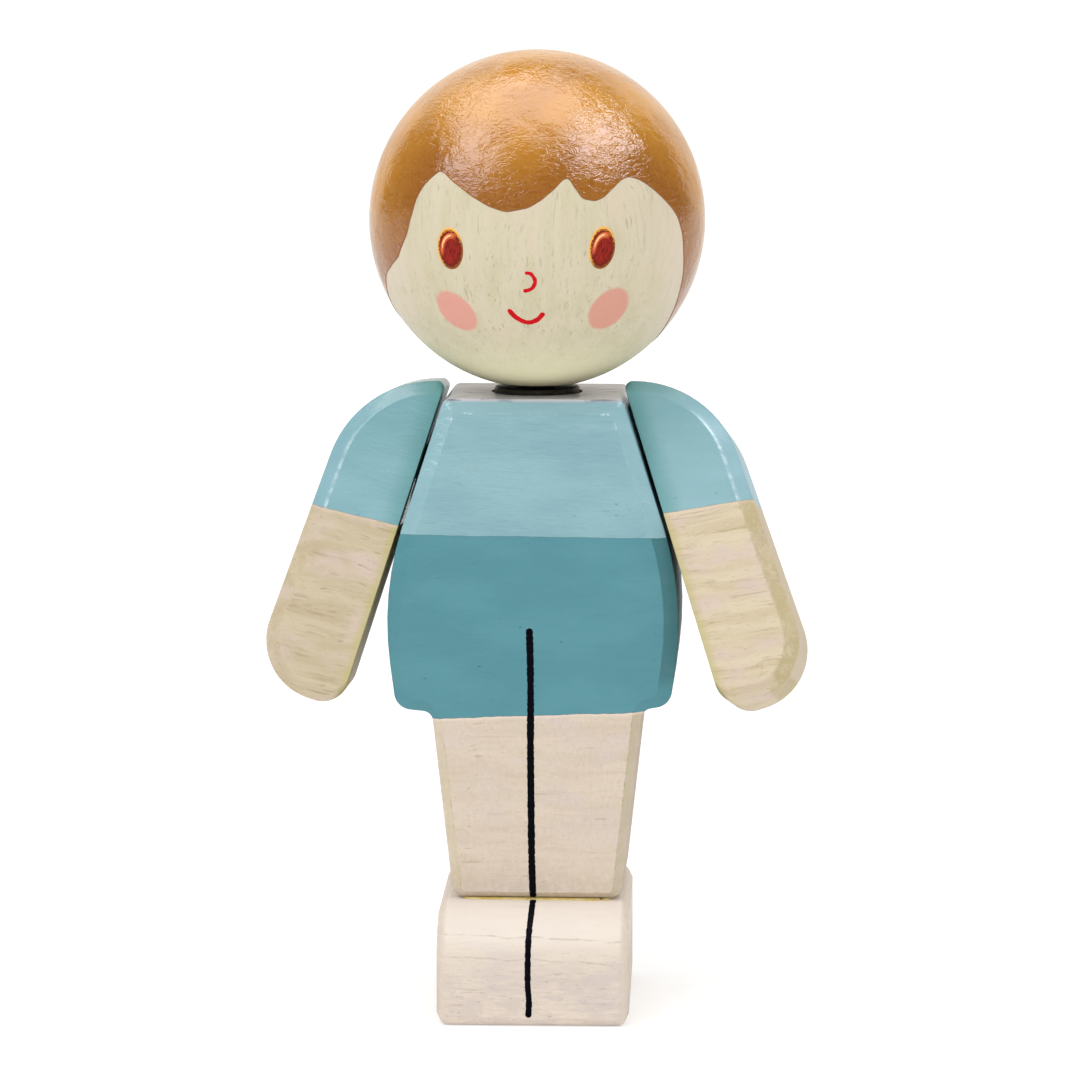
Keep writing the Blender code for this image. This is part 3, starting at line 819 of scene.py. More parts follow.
def inset_corners(corners, insets):
    """Move each side inward by its own distance, from the side after the first corner on."""
    places, to_before, to_after, _ = corner_sides(corners)
    moved = []
    for i, place in enumerate(places):
        arriving = -to_before[i]
        leaving = to_after[i]
        bend = arriving.cross(leaving)
        start = place + Vector((-arriving.y, arriving.x)) * insets[i - 1]
        crossed = place + Vector((-leaving.y, leaving.x)) * insets[i]
        point = start + arriving * (crossed - start).cross(leaving) / bend
        tightening = math.copysign((insets[i - 1] + insets[i]) / 2, bend)
        moved.append((point.x, point.y, max(0.0, corners[i][2] - tightening)))
    return moved


def draw_outline(corners, step=math.radians(5.0)):
    """Points along an outline, counter-clockwise; the corners' angles alone set how many there are."""
    points = []
    for place, before, after, half, corner in zip(*corner_sides(corners), corners):
        radius = corner[2]
        centre = place + (before + after).normalized() * radius / math.sin(half)
        start = place + before * radius / math.tan(half) - centre
        sweep = math.pi - 2 * half
        turn = 1.0 if before.cross(after) < 0 else -1.0
        chords = max(3, math.ceil(sweep / step))
        for k in range(chords + 1):
            spoke = start.copy()
            spoke.rotate(Matrix.Rotation(turn * sweep * k / chords, 2))
            points.append(centre + spoke)
    return points


def routed_profile(width, depth, ridge_radius, side_radius):
    """Share of the rim's width and drop below the face: a tight arc, a flat and a tight arc into the side."""
    low = 0.0
    high = math.pi / 2
    for _ in range(40):
        angle = (low + high) / 2
        across = math.sin(angle)
        flat = (width - ridge_radius * across - side_radius * (1 - across)) / math.cos(angle)
        drop = ridge_radius * (1 - math.cos(angle)) + flat * across + side_radius * math.cos(angle)
        if drop < depth:
            low = angle
        else:
            high = angle
    turns = np.linspace(0.0, angle, 4)
    points = [(ridge_radius * math.sin(t), ridge_radius * (1 - math.cos(t))) for t in turns]
    across = points[-1][0] + flat * math.cos(angle)
    drop = points[-1][1] + flat * math.sin(angle)
    for turn in np.linspace(angle, math.pi / 2, 5):
        further = side_radius * (math.sin(turn) - math.sin(angle))
        points.append((across + further, drop + side_radius * (math.cos(angle) - math.cos(turn))))
    return [(max(0.0, 1 - x / width), y) for x, y in points]


def as_modified(thing, spent=()):
    """A plain mesh of an object with its modifiers run; the object and the spent ones go."""
    mesh = bpy.data.meshes.new_from_object(thing.evaluated_get(bpy.context.evaluated_depsgraph_get()))
    mesh.name = thing.data.name
    for each in (thing, *spent):
        bpy.data.objects.remove(each)
    return mesh


def faced_outward(mesh, weld=0.0):
    """A closed mesh with its faces turned outward, and points within a distance welded."""
    shape = bmesh.new()
    shape.from_mesh(mesh)
    if weld:
        bmesh.ops.remove_doubles(shape, verts=shape.verts[:], dist=weld)
    bmesh.ops.recalc_face_normals(shape, faces=shape.faces[:])
    shape.to_mesh(mesh)
    shape.free()
    return mesh


def ring_faces(rings, spokes):
    """Faces of a closed surface: a point, rings with so many spokes, and a last point."""
    pairs = [(k, (k + 1) % spokes) for k in range(spokes)]
    last = 1 + (rings - 1) * spokes
    faces = [[0, 1 + k, 1 + after] for k, after in pairs]
    for low in range(1, last, spokes):
        faces.extend([low + k, low + spokes + k, low + spokes + after, low + after] for k, after in pairs)
    return faces + [[last + k, last + spokes, last + after] for k, after in pairs]


def routed_block(name, corners, depth, widths, profile):
    """A sawn block in X and Z with both rims routed, as a closed mesh; each side has its own rim width."""
    corners = fit_radii(corners)
    levels = [(1.0, 0.0, flat_border)] + [(share, drop, 0.0) for share, drop in profile]
    points = []
    for side in (-1, 1):
        for share, drop, more in levels[::-side]:
            outline = draw_outline(inset_corners(corners, [width * share + more for width in widths]))
            points.extend((p.x, side * (depth / 2 - drop), p.y) for p in outline)
    count = len(outline)
    faces = [range(count), range(len(points) - count, len(points))]
    for low in range(0, len(points) - count, count):
        for k in range(count):
            before = low + (k - 1) % count
            faces.append((before, low + k, low + count + k, before + count))
    mesh = bpy.data.meshes.new(name)
    mesh.from_pydata(points, [], faces)
    return faced_outward(mesh, weld)


def meshed(name, shape):
    """A shape as a mesh; the shape goes."""
    mesh = bpy.data.meshes.new(name)
    shape.to_mesh(mesh)
    shape.free()
    return mesh


def bored(mesh, drills):
    """The mesh with blind holes; a drill is a matrix at the hole's mouth, its Z outward, and the bore."""
    blank = put_in_scene("blank", mesh)
    cutters = []
    for place, (radius, depth) in drills:
        shape = bmesh.new()
        bmesh.ops.create_cone(
            shape, cap_ends=True, segments=64, radius1=radius, radius2=radius, depth=2 * depth, matrix=place
        )
        cutters.append(put_in_scene("drill", meshed("drill", shape)))
        cut = blank.modifiers.new("bore", "BOOLEAN")
        cut.operation = "DIFFERENCE"
        cut.solver = "EXACT"
        cut.object = cutters[-1]
    return as_modified(blank, cutters)


def flats_kept_flat(mesh):
    """The mesh with normals that follow its larger faces, so that flats stay flat beside tight arcs."""
    blank = put_in_scene("blank", mesh)
    blank.modifiers.new("even", "WEIGHTED_NORMAL").keep_sharp = True
    return as_modified(blank)


def block_mesh(name, corners, depth, widths, profile, transform, grain, drills):
    """Build and bore a routed block where it belongs, and keep its own place and rim for its material."""
    mesh = routed_block(name, corners, depth, widths, profile)
    mesh.transform(transform)
    if transform.determinant() < 0:
        mesh.flip_normals()
    mesh = bored(mesh, drills)
    low = min(corner[0] for corner in corners)
    high = max(corner[0] for corner in corners)
    back = transform.inverted()
    own = [back @ vertex.co for vertex in mesh.vertices]
    drops = [drop for share, drop in profile]
    shades = [1 - share for share, drop in profile]
    keep_vectors(mesh, "own_place", [grain(p) for p in own])
    keep_numbers(mesh, "rim", [np.interp(depth / 2 - abs(p.y), drops, shades) for p in own])
    keep_numbers(mesh, "outward", [2 * (p.x - low) / (high - low) - 1 for p in own])
    smooth_with_edges(mesh, 40.0)
    return flats_kept_flat(mesh)


# Torso and legs


def board_side_corners(sign):
    """The corners of one side of the torso and legs from the leg end up, at +X for 1 and -X for -1."""
    slope = sign * math.tan(hip_slope)
    hip_inner = Vector((leg_top_half_width, leg_end + leg_length + leg_top_half_width * slope))
    hip_outer = hip_inner + Vector((hip_step_width, hip_step_rise + hip_step_width * slope))
    lean = math.tan(side_lean)
    flare = math.tan(hip_flare)
    climb = (shoulder_half_width + lean * (torso_top - hip_outer.y) - hip_outer.x) / (flare + lean)
    widest = hip_outer + Vector((flare * climb, climb))
    return [
        (leg_offset + sign * leg_end_half_width, leg_end, 1.2 * MM),
        (leg_offset + sign * hip_inner.x, hip_inner.y, 1.0 * MM),
        (sign * hip_outer.x, hip_outer.y, 1.7 * MM),
        (sign * widest.x, widest.y, 30.0 * MM),
        (sign * shoulder_half_width, torso_top, 0.85 * MM),
    ]


def millimetres(point):
    return point / MM


def shoulder_drill(side, sign):
    """Where the shoulder's axis meets the torso's leaning side, its Z out of the torso."""
    seat = Vector(joints[side + "_arm_swing"]["pos_m"])
    outward = Vector((sign * math.cos(side_lean), 0.0, math.sin(side_lean)))
    corner = Vector((sign * shoulder_half_width, 0.0, torso_top))
    mouth = seat - outward * (seat - corner).dot(outward)
    return Matrix.Translation(mouth) @ Matrix.Rotation(sign * (math.pi / 2 - side_lean), 4, "Y")


at_neck = Matrix.Translation((0.0, 0.0, torso_top))
board_drills = [
    (at_neck, neck_bore),
    (at_neck, collar_bore),
    (shoulder_drill("left", 1), shoulder_bore),
    (shoulder_drill("right", -1), shoulder_bore),
    (Matrix.Translation((foot_bore_offset, 0.0, leg_end)), foot_bore),
    (Matrix.Translation((-foot_bore_offset, 0.0, leg_end)), foot_bore),
]
board_corners = board_side_corners(1) + board_side_corners(-1)[::-1]
board_profile = routed_profile(1.45 * MM, 0.75 * MM, 0.25 * MM, 0.15 * MM)
leg_end_rim = 0.6 * MM
rim_widths = [width * MM for width in (0.95, 1.2, 1.45, 1.45, 1.45, 1.45, 1.45, 1.2, 0.95)] + [leg_end_rim]
board_mesh = block_mesh(
    "painted_board", board_corners, board_thickness, rim_widths, board_profile, Matrix.Identity(4),
    millimetres, board_drills,
)
board = add_piece("painted_board", board_mesh, [board_material], "body")
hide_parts("torso_and_legs")


# Foot block

# The block is sawn along X and turned to face the front; its grain is read from one end of it
to_front = Matrix.Rotation(foot_turn - math.pi / 2, 4, "Z")
grain_start = 21.0 * MM


def foot_grain(point):
    turned = to_front @ point
    return Vector((turned.x + grain_start, turned.y, turned.z)) / MM


foot_corners = [
    (toe_reach, 0.0, 0.9 * MM),
    (toe_reach, foot_height, instep_radius),
    (-heel_reach, foot_height, 1.5 * MM),
    (-heel_reach, 0.0, 0.9 * MM),
]
foot_profile = routed_profile(1.2 * MM, 1.1 * MM, 0.2 * MM, 0.85 * MM)
foot_holes = [Vector((side * foot_bore_offset, 0.0, foot_height)) for side in (-1, 1)]
foot_drills = [(Matrix.Translation(place), foot_bore) for place in foot_holes]
foot_mesh = block_mesh(
    "washed_foot_block", foot_corners, foot_width, [1.2 * MM] * 4, foot_profile, to_front, foot_grain,
    foot_drills,
)
foot = add_piece("washed_foot_block", foot_mesh, [foot_material], "body")
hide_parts("foot_block")


# Arms: the left one from the front, X outward from its inner face and Z up from its pivot

arm_corners = [
    (0.0, -arm_reach, 2.6 * MM),
    (arm_hand_thickness, -arm_reach, 5.8 * MM),
    (arm_shoulder_thickness, arm_rise - arm_shoulder_thickness * math.tan(side_lean), 10.5 * MM),
    (0.0, arm_rise, 0.7 * MM),
]
arm_rims = [1.5 * MM, 1.5 * MM, 1.3 * MM, 0.12 * MM]
arm_profile = routed_profile(1.5 * MM, 1.4 * MM, 0.35 * MM, 0.5 * MM)


def make_arm(side, sign, forward, shift, hem_level, hem_slope):
    """An arm at an angle forward of hanging; the hem is where its sleeve ends, the shift picks its wood."""
    joint = joints[side + "_arm_swing"]
    pivot = Matrix.Translation(joint["pos_m"]) @ Matrix.Rotation(sign * (math.pi / 2 - side_lean), 4, "Y")
    swing = Matrix.Rotation(-sign * forward, 4, "Z")
    upright = Matrix.Rotation(-sign * math.pi / 2, 4, "Y")
    mirror = Matrix.Scale(sign, 4, Vector((1.0, 0.0, 0.0)))

    def grain(point):
        return Vector((point.x + shift, point.y, point.z - hem_level - hem_slope * point.x)) / MM

    mesh = block_mesh(
        side + "_sleeved_arm", arm_corners, arm_depth, arm_rims, arm_profile,
        pivot @ swing @ upright @ mirror, grain, [(pivot, arm_bore)],
    )
    arm = add_piece(side + "_sleeved_arm", mesh, [arm_material], side + "_arm")
    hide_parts(side + "_arm")


make_arm("left", 1, math.radians(14.0), 31.0 * MM, -5.1 * MM, -0.14)
make_arm("right", -1, math.radians(4.5), 0.0, -6.1 * MM, -0.082)


# Head: a ball meshed in rings round the face, so that the hair paint starts on one clean ring

# Edge of the hair as longitude and latitude on the ball, from the figure's right round the fringe to the nape
hair_edge = [
    (-65.4, -17.7), (-58.5, -14.0), (-51.4, -9.4), (-47.0, -3.8), (-43.8, 3.7), (-41.3, 10.8), (-38.4, 14.9),
    (-33.5, 18.9), (-26.5, 15.3), (-18.8, 10.7), (-11.9, 7.4), (-6.1, 6.2), (-0.8, 7.2), (3.8, 9.5),
    (8.7, 13.3), (13.7, 17.1), (16.1, 14.0), (19.1, 10.3), (22.5, 9.6), (25.8, 10.5), (30.7, 14.1),
    (33.8, 16.3), (37.6, 17.1), (42.5, 15.4), (49.5, 10.7), (57.2, 4.0), (60.8, -1.9), (63.6, -9.8),
    (67.3, -18.5), (70.1, -25.6), (74.1, -33.3), (80.0, -41.5), (95.0, -48.0), (120.0, -53.0), (150.0, -55.5),
    (180.0, -56.0), (-150.0, -55.5), (-120.0, -52.0), (-98.0, -44.0), (-84.0, -34.0), (-73.0, -24.5),
]
face_middle = (2.0, -36.0)
face_out = ball_direction(*face_middle)
face_east, face_north = surface_axes(face_out)

# Rings at the hair's edge: millimetres past it, and the rise as a share of the paint's thickness
hair_lip = [
    (-0.06, 0.0), (-0.015, 0.0), (0.015, 0.55), (0.05, 0.95), (0.1, 1.15), (0.2, 1.1), (0.4, 1.0), (0.8, 1.0),
]


def polar_about_face(direction):
    """Turn round the face's middle and angle away from it."""
    return math.atan2(direction.dot(face_north), direction.dot(face_east)), face_out.angle(direction)


def hair_reach(turns):
    """Angle from the face's middle to the hair's edge for each turn, by a smooth curve through its points."""
    knots = np.array(sorted(polar_about_face(ball_direction(*place)) for place in hair_edge))
    turn = np.concatenate([knots[:, 0] - 2 * math.pi, knots[:, 0], knots[:, 0] + 2 * math.pi])
    reach = np.tile(knots[:, 1], 3)
    chords = np.diff(reach) / np.diff(turn)
    slopes = np.zeros(len(turn))
    same = chords[:-1] * chords[1:] > 0
    slopes[1:-1][same] = 2 * chords[:-1][same] * chords[1:][same] / (chords[:-1][same] + chords[1:][same])
    place = np.clip(np.searchsorted(turn, turns) - 1, 0, len(turn) - 2)
    width = turn[place + 1] - turn[place]
    t = (turns - turn[place]) / width
    return (
        (2 * t**3 - 3 * t**2 + 1) * reach[place]
        + (t**3 - 2 * t**2 + t) * width * slopes[place]
        + (3 * t**2 - 2 * t**3) * reach[place + 1]
        + (t**3 - t**2) * width * slopes[place + 1]
    )


def past_hairline(places):
    """How far each place on the ball, in millimetres from its centre, lies past the hair's edge."""
    directions = places / np.linalg.norm(places, axis=1)[:, None]
    turns = np.arctan2(directions @ np.array(face_north), directions @ np.array(face_east))
    reaches = np.arccos(np.clip(directions @ np.array(face_out), -1.0, 1.0))
    return (reaches - hair_reach(turns)) * head_radius / MM


def make_ball():
    """The ball in rings round the face; each has its angle from the face's middle, its rise and paint."""
    spokes = 480
    face_rings = 34
    hair_rings = 70
    turns = np.linspace(-math.pi, math.pi, spokes, endpoint=False)
    edge = hair_reach(turns)
    shrink = 1 - 0.1 * MM / head_radius
    rings = [(edge * (k / face_rings) * shrink, 0.0, 0) for k in range(1, face_rings)]
    rings += [(edge + offset * MM / head_radius, rise, int(offset > 0)) for offset, rise in hair_lip]
    first = hair_lip[-1][0] * MM / head_radius
    shares = [k / hair_rings for k in range(1, hair_rings)]
    rings += [(edge + first + (math.pi - edge - first) * share, 1.0, 1) for share in shares]

    def surface(reach, turn, rise):
        sideways = face_east * math.cos(turn) + face_north * math.sin(turn)
        direction = face_out * math.cos(reach) + sideways * math.sin(reach)
        radius = head_radius - ball_inset + hair_thickness * rise
        height = head_half_height - ball_inset + hair_thickness * rise
        return Vector((direction.x * radius, direction.y * radius, direction.z * height)) + head_centre

    points = [surface(0.0, 0.0, 0.0)]
    kinds = []
    for reach, rise, kind in rings:
        points.extend(surface(reach[i], turns[i], rise) for i in range(spokes))
        kinds.extend([kind] * spokes)
    points.append(surface(math.pi, 0.0, 1.0))
    kinds.extend([1] * spokes)
    mesh = bpy.data.meshes.new("painted_ball")
    mesh.from_pydata(points, [], ring_faces(len(rings), spokes))
    mesh.polygons.foreach_set("material_index", kinds)
    return faced_outward(mesh)


ball_mesh = make_ball()
ball_mesh.materials.append(face_material)
ball_mesh.materials.append(hair_material)
ball_mesh = bored(ball_mesh, [(at_neck, head_bore)])
places = np.empty(len(ball_mesh.vertices) * 3, dtype=np.float32)
ball_mesh.vertices.foreach_get("co", places)
places = (places.reshape(-1, 3) - np.array(head_centre)) / MM
keep_vectors(ball_mesh, "own_place", places[:, [2, 0, 1]])
keep_numbers(ball_mesh, "from_hairline", past_hairline(places))
smooth_with_edges(ball_mesh, 40.0)
ball = add_piece("painted_ball", ball_mesh, [], "head")
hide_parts("head")


def ball_surface(direction):
    """Point of the bare ball in a direction."""
    scaled = Vector((direction.x * head_radius, direction.y * head_radius, direction.z * head_half_height))
    return head_centre + scaled * (1 - ball_inset / head_radius)


# An eye's rings: share of its half size, and millimetres above the ball
eye_rings = [
    (0.0, 0.03), (0.25, 0.03), (0.5, 0.03), (0.7, 0.03), (0.84, 0.03), (0.93, 0.028), (0.98, 0.018),
    (1.0, 0.0), (1.0, -0.06), (0.0, -0.06),
]


def make_eye(name, longitude, latitude, lean, half_width, half_height):
    """A thin oval of print that follows the ball, with its own UV map from edge to edge."""
    middle, across, up = ball_axes(longitude, latitude, lean)
    middle = middle.normalized()
    spokes = 72
    points = []
    marks = []
    for ring, lift in eye_rings:
        for k in range(spokes if ring > 0 else 1):
            u = ring * math.cos(2 * math.pi * k / spokes)
            v = ring * math.sin(2 * math.pi * k / spokes)
            direction = middle + across * (u * half_width * MM / head_radius)
            direction = (direction + up * (v * half_height * MM / head_radius)).normalized()
            points.append(ball_surface(direction) + direction * lift * MM)
            marks.append((u / 2 + 0.5, v / 2 + 0.5))
    mesh = bpy.data.meshes.new(name)
    mesh.from_pydata(points, [], ring_faces(len(eye_rings) - 2, spokes))
    faced_outward(mesh)
    layer = mesh.uv_layers.new(name="eye_print")
    for loop in mesh.loops:
        layer.data[loop.index].uv = marks[loop.vertex_index]
    smooth_with_edges(mesh, 50.0)
    add_piece(name, mesh, [eye_material], "head")


make_eye("right_eye", -27.3, -6.4, 0.0, 1.4, 1.97)
make_eye("left_eye", 25.4, -5.9, -4.6, 1.32, 2.0)


# Brush strokes and the glue bead: one Geometry Nodes tree sweeps a flat oval along a path


def make_stroke_tree():
    """A path with an outward direction on each point in, a flat round-ended stroke with a tremble out."""
    tree = bpy.data.node_groups.new("brush_stroke", "GeometryNodeTree")
    w = Wiring(tree)
    for label, kind in (
        ("Path", "Geometry"), ("Width", "Float"), ("Thickness", "Float"), ("Tremble", "Float"),
        ("Seed", "Float"), ("Paint", "Material"),
    ):
        tree.interface.new_socket(label, in_out="INPUT", socket_type="NodeSocket" + kind)
    tree.interface.new_socket("Stroke", in_out="OUTPUT", socket_type="NodeSocketGeometry")
    given = {socket.name: Value(w, socket) for socket in w.node("NodeGroupInput").outputs}

    def step(kind, mode=None, **inputs):
        made = w.node("GeometryNode" + kind)
        if mode:
            made.mode = mode
        w.fill(made.inputs, **inputs)
        return Value(w, made.outputs[0])

    curve = step("MeshToCurve", Mesh=given["Path"])
    curve = step("ResampleCurve", "LENGTH", Curve=curve, Length=0.12 * MM)
    outward = w.node("GeometryNodeInputNamedAttribute", data_type="FLOAT_VECTOR")
    w.fill(outward.inputs, Name="outward")
    curve = step("SetCurveNormal", "FREE", Curve=curve, Normal=Value(w, outward.outputs[0]))
    along = w.read("GeometryNodeSplineParameter", "Length")
    whole = w.read("GeometryNodeSplineLength", "Length")
    half = given["Width"] * 0.5
    short = w.math("MAXIMUM", half - w.math("MINIMUM", along, whole - along), 0.0)
    rounded = w.math("SQRT", w.math("MAXIMUM", half * half - short * short, 1e-10))
    here = w.vector("SCALE", w.read("GeometryNodeInputPosition", 0), None, 1.0 / MM)
    seeded = w.vector("ADD", here, w.place(given["Seed"], given["Seed"], 0.0))
    radius = rounded * ((w.noise(seeded, 3.0, 4.0, 0.75) - 0.5) * given["Tremble"] + 1.0)
    curve = step("SetCurveRadius", Curve=curve, Radius=radius)
    ring = step("CurvePrimitiveCircle", Resolution=20, Radius=1.0)
    oval = step("Transform", Geometry=ring, Scale=w.place(given["Thickness"] / half, 1.0, 1.0))
    stroke = step("CurveToMesh", Curve=curve, Profile_Curve=oval, Scale=radius, Fill_Caps=True)
    stroke = step("RealizeInstances", Geometry=step("SetShadeSmooth", Geometry=stroke))
    painted = step("SetMaterial", Geometry=stroke, Material=given["Paint"])
    w.fill(w.node("NodeGroupOutput").inputs, Stroke=painted)
    return tree


stroke_tree = make_stroke_tree()


def make_stroke(name, path, width, thickness, tremble, seed, paint, body, closed=False):
    """Sweep one stroke along a path, which is its points and an outward direction for each."""
    points, outward = path
    mesh = bpy.data.meshes.new(name)
    ends = [(len(points) - 1, 0)] if closed else []
    mesh.from_pydata(points, [(k, k + 1) for k in range(len(points) - 1)] + ends, [])
    keep_vectors(mesh, "outward", outward)
    brush = put_in_scene("brush", mesh)
    sweep = brush.modifiers.new("brush_stroke", "NODES")
    sweep.node_group = stroke_tree
    values = {"Width": width, "Thickness": thickness, "Tremble": tremble, "Seed": seed, "Paint": paint}
    for item in stroke_tree.interface.items_tree:
        if item.in_out == "INPUT" and item.name in values:
            sweep[item.identifier] = values[item.name]
    add_piece(name, faced_outward(as_modified(brush), weld), [], body)


def curve_through(knots, steps=8):
    """Points on a smooth curve through the knots."""
    ends = [2 * knots[0] - knots[1]] + knots + [2 * knots[-1] - knots[-2]]
    points = []
    for before, start, end, after in zip(ends, ends[1:], ends[2:], ends[3:]):
        for t in (step / steps for step in range(steps)):
            bend = (2 * before - 5 * start + 4 * end - after) * t**2
            turn = (3 * start - before - 3 * end + after) * t**3
            points.append(0.5 * (2 * start + (end - before) * t + bend + turn))
    points.append(knots[-1])
    return points


# Across and up, in millimetres, and where the line on the foot block drifts to and ends
leg_line_knots = [
    (-0.30, 37.25), (-0.21, 34.1), (-0.17, 30.0), (-0.19, 26.4), (-0.14, 20.7), (-0.08, 15.5), (0.02, 12.0),
]
foot_line_drift = [0.06, 0.02, -0.13, -0.17, -0.16, -0.05, -0.12]
foot_line_end = 0.85 * MM


def board_line():
    """Down the front of the board and round its lower edge."""
    front = -board_thickness / 2
    points = curve_through([Vector((x * MM, front, z * MM)) for x, z in leg_line_knots])
    outward = [Vector((0.0, -1.0, 0.0))] * len(points)
    rim = [Vector((0.03 * MM, front + drop, leg_end + leg_end_rim * share)) for share, drop in board_profile]
    for before, point, after in zip(rim, rim[1:], rim[2:]):
        along = (after - before).normalized()
        points.append(point)
        outward.append(Vector((0.0, along.z, -along.y)))
    return points, outward


def foot_line():
    """Over the instep and down the toe."""
    sideways = [knot.x for knot in curve_through([Vector((x * MM, 0.0)) for x in foot_line_drift])]
    wall = foot_height - instep_radius
    steps = 24
    points = []
    outward = []
    for k in range(2 * steps + 1):
        angle = math.pi / 2 * max(0.0, 1 - k / steps)
        fall = (wall - foot_line_end) * max(0, k - steps) / steps
        y = -(toe_reach - instep_radius + instep_radius * math.cos(angle))
        points.append(Vector((sideways[k], y, wall + instep_radius * math.sin(angle) - fall)))
        outward.append(Vector((0.0, -math.cos(angle), math.sin(angle))))
    return points, outward


def face_line(*places):
    """A stroke on the ball through longitudes and latitudes."""
    directions = [knot.normalized() for knot in curve_through([ball_direction(*place) for place in places])]
    return [ball_surface(direction) for direction in directions], directions


def glue_path():
    """Round the foot of the legs, on top of the block."""
    x = leg_end_half_width - 1.3 * MM
    y = board_thickness / 2 - 0.6 * MM
    corners = [(leg_offset + a * x, b * y, 0.6 * MM) for a, b in ((1, -1), (1, 1), (-1, 1), (-1, -1))]
    points = [Vector((p.x, p.y, foot_height + 0.02 * MM)) for p in draw_outline(corners, math.radians(15.0))]
    return points, [Vector((0.0, 0.0, 1.0))] * len(points)


line_width = 0.66 * MM
line_depth = 0.035 * MM
face_line_depth = 0.03 * MM
nose = face_line((-1.1, -14.1), (1.0, -14.4), (2.5, -16.9), (1.3, -19.6), (-1.8, -20.6))
mouth = face_line((-7.7, -27.3), (-4.9, -30.6), (-0.6, -32.6), (3.2, -31.5), (5.8, -28.6))
make_stroke("leg_line", board_line(), line_width, line_depth, 1.1, 3.0, black_line, "body")
foot_line_width = line_width * 0.88
make_stroke("foot_line", foot_line(), foot_line_width, line_depth, 1.0, 8.0, black_line, "body")
make_stroke("nose_line", nose, 0.36 * MM, face_line_depth, 0.9, 1.0, red_line, "head")
make_stroke("mouth_line", mouth, 0.5 * MM, face_line_depth, 1.0, 5.0, red_line, "head")
make_stroke("glue_bead", glue_path(), 0.8 * MM, 0.16 * MM, 0.35, 2.0, glue, "body", True)


# Neck: the turned collar, finer than in the solid


def turned_mesh(name, profile, centre):
    """A shape turned about an upright axis from its profile of radii and heights, in millimetres."""
    shape = bmesh.new()
    verts = [shape.verts.new((radius * MM, 0.0, height * MM)) for radius, height in profile]
    edges = [shape.edges.new(pair) for pair in zip(verts, verts[1:])]
    bmesh.ops.spin(
        shape, geom=verts + edges, cent=(0.0, 0.0, 0.0), axis=(0.0, 0.0, 1.0), angle=2 * math.pi, steps=96,
        use_merge=True,
    )
    mesh = faced_outward(meshed(name, shape), weld)
    mesh.transform(Matrix.Translation(centre))
    smooth_with_edges(mesh, 30.0)
    return mesh


neck_profile = [
    (0.0, -5.4), (2.3, -5.4), (2.5, -5.2), (2.5, -0.6), (3.95, -0.6), (4.05, -0.5), (4.05, 0.36),
    (3.99, 0.46), (3.9, 0.5), (1.8, 0.5), (1.8, 2.3), (2.4, 2.9), (2.4, 4.1), (1.8, 4.7), (0.0, 4.7),
]
neck_mesh = turned_mesh("nylon_neck", neck_profile, (0.0, 0.0, torso_top))
neck = add_piece("nylon_neck", neck_mesh, [nylon], "body")
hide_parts("neck_peg")

# Hidden pieces keep their solids
for name, node in nodes.items():
    finish = dowel if name.endswith("_dowel") else nylon
    node.data.materials.clear()
    node.data.materials.append(finish)


# Floor, light and camera


def make_floor():
    """A wide pale floor; it stays white to the camera, apart from the figure's shadow."""
    material, w, shader = new_material("pale_floor")
    place = w.read("ShaderNodeTexCoord", "Object")
    sees = w.read("ShaderNodeLightPath", "Is Camera Ray")
    away = w.ramp(w.vector("LENGTH", place), 0.05, 1.2, 0.3, 0.6)
    w.fill(
        shader, Base_Color=w.mix(w.noise(place, 3.0, 2.0), (0.8, 0.8, 0.8, 1.0), (0.78, 0.78, 0.78, 1.0)),
        Roughness=0.9, Specular_IOR_Level=0.0, Emission_Color=(1.0, 1.0, 1.0, 1.0),
        Emission_Strength=w.math("MAXIMUM", sees * away, 0.22),
    )
    mesh = bpy.data.meshes.new("floor")
    reach = 12.0
    corners = [(-reach, -reach, 0.0), (reach, -reach, 0.0), (reach, reach, 0.0), (-reach, reach, 0.0)]
    mesh.from_pydata(corners, [], [(0, 1, 2, 3)])
    mesh.materials.append(material)
    floor = put_in_scene("floor", mesh)
    floor.location.z = -0.02 * MM


def make_world():
    """White surroundings: white to the camera, even as light, and in gloss bright only low down behind."""
    world = bpy.data.worlds.new("studio")
    world.use_nodes = True
    bpy.context.scene.world = world
    w = Wiring(world.node_tree)
    seen_in_gloss = w.read("ShaderNodeLightPath", "Is Glossy Ray")
    x, y, z = w.parts(w.read("ShaderNodeTexCoord", "Generated"))
    level_y = w.parts(w.vector("NORMALIZE", w.place(x, y, 0.0)))[1]
    in_gloss = w.ramp(level_y, 0.58, 0.76) * w.ramp(z, 0.8, 0.68) * w.ramp(z, 0.0, 0.4, 1.0, 1.45)
    on_matt = w.ramp(z, -0.2, 1.0, 0.54, 1.15, False)
    strength = w.ramp(seen_in_gloss, 0.0, 1.0, on_matt, w.math("MAXIMUM", in_gloss, 0.1), False)
    w.fill(
        world.node_tree.nodes["Background"].inputs,
        Color=w.mix(seen_in_gloss, (1.0, 1.0, 1.0, 1.0), (1.0, 0.92, 0.84, 1.0)),
        Strength=w.math("MAXIMUM", strength, w.read("ShaderNodeLightPath", "Is Camera Ray")),
    )


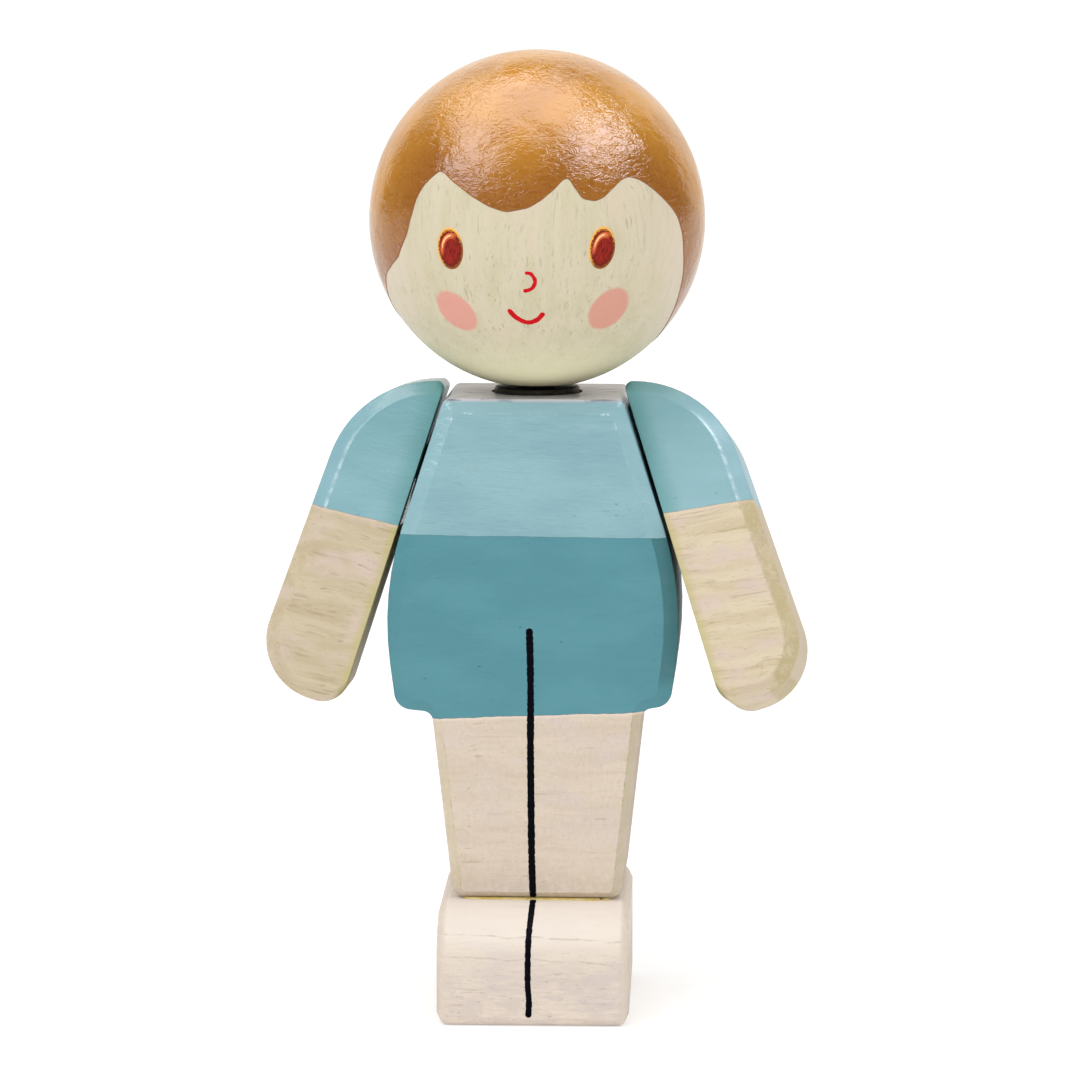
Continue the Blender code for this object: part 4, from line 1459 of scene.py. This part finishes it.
def add_softbox(name, azimuth, elevation, distance, width, height, radiance, colour, for_gloss):
    """A panel that faces the figure's chest from a direction; azimuth 0 is in front, positive to its left.

    A panel lights either the matt surfaces or the gloss.
    """
    away = ball_direction(azimuth, elevation)
    light = bpy.data.lights.new(name, "AREA")
    light.shape = "RECTANGLE"
    light.size = width
    light.size_y = height
    light.color = colour
    light.energy = radiance * math.pi * width * height
    lamp = put_in_scene(name, light)
    lamp.location = chest + away * distance
    lamp.rotation_euler = away.to_track_quat("Z", "Y").to_euler()
    lamp.visible_diffuse = not for_gloss
    lamp.visible_glossy = for_gloss


chest = Vector((0.0, 0.0, 0.07))
make_floor()
make_world()
warm = (1.0, 0.95, 0.94)
pink = (1.0, 0.87, 0.86)
lavender = (0.88, 0.88, 1.0)
add_softbox("fill_right", -46.0, 50.0, 0.6, 0.35, 0.3, 2.3, warm, False)
add_softbox("fill_left", 38.0, 60.0, 0.6, 0.3, 0.3, 1.4, warm, False)
add_softbox("low_front", 4.0, -1.0, 0.62, 0.5, 0.09, 1.8, warm, False)
add_softbox("gloss_overhead", -90.0, 80.5, 0.6, 0.58, 0.75, 5.6, pink, True)
add_softbox("gloss_right", -55.0, 39.0, 0.6, 0.34, 0.25, 6.8, lavender, True)
add_softbox("gloss_left", 71.0, 50.0, 0.6, 0.51, 0.27, 11.0, lavender, True)

# The view: from a little above and to the figure's left; the image is taken as 1080 by 1080
view_turn = math.radians(3.2)
view_fall = math.radians(7.776)
view_distance = 0.450
view_height = 0.106
view_slide = 0.267 * MM
camera_data = bpy.data.cameras.new("view")
camera_data.sensor_width = 36.0
camera_data.lens = 158.0
camera_data.clip_start = 0.01
camera_data.clip_end = 50.0
camera = put_in_scene("view", camera_data)
camera.location = (
    view_distance * math.sin(view_turn) + view_slide * math.cos(view_turn),
    -view_distance * math.cos(view_turn) + view_slide * math.sin(view_turn),
    view_height,
)
camera.rotation_euler = (math.pi / 2 - view_fall, 0.0, view_turn)
bpy.context.scene.camera = camera
bpy.context.scene.view_settings.view_transform = "Standard"
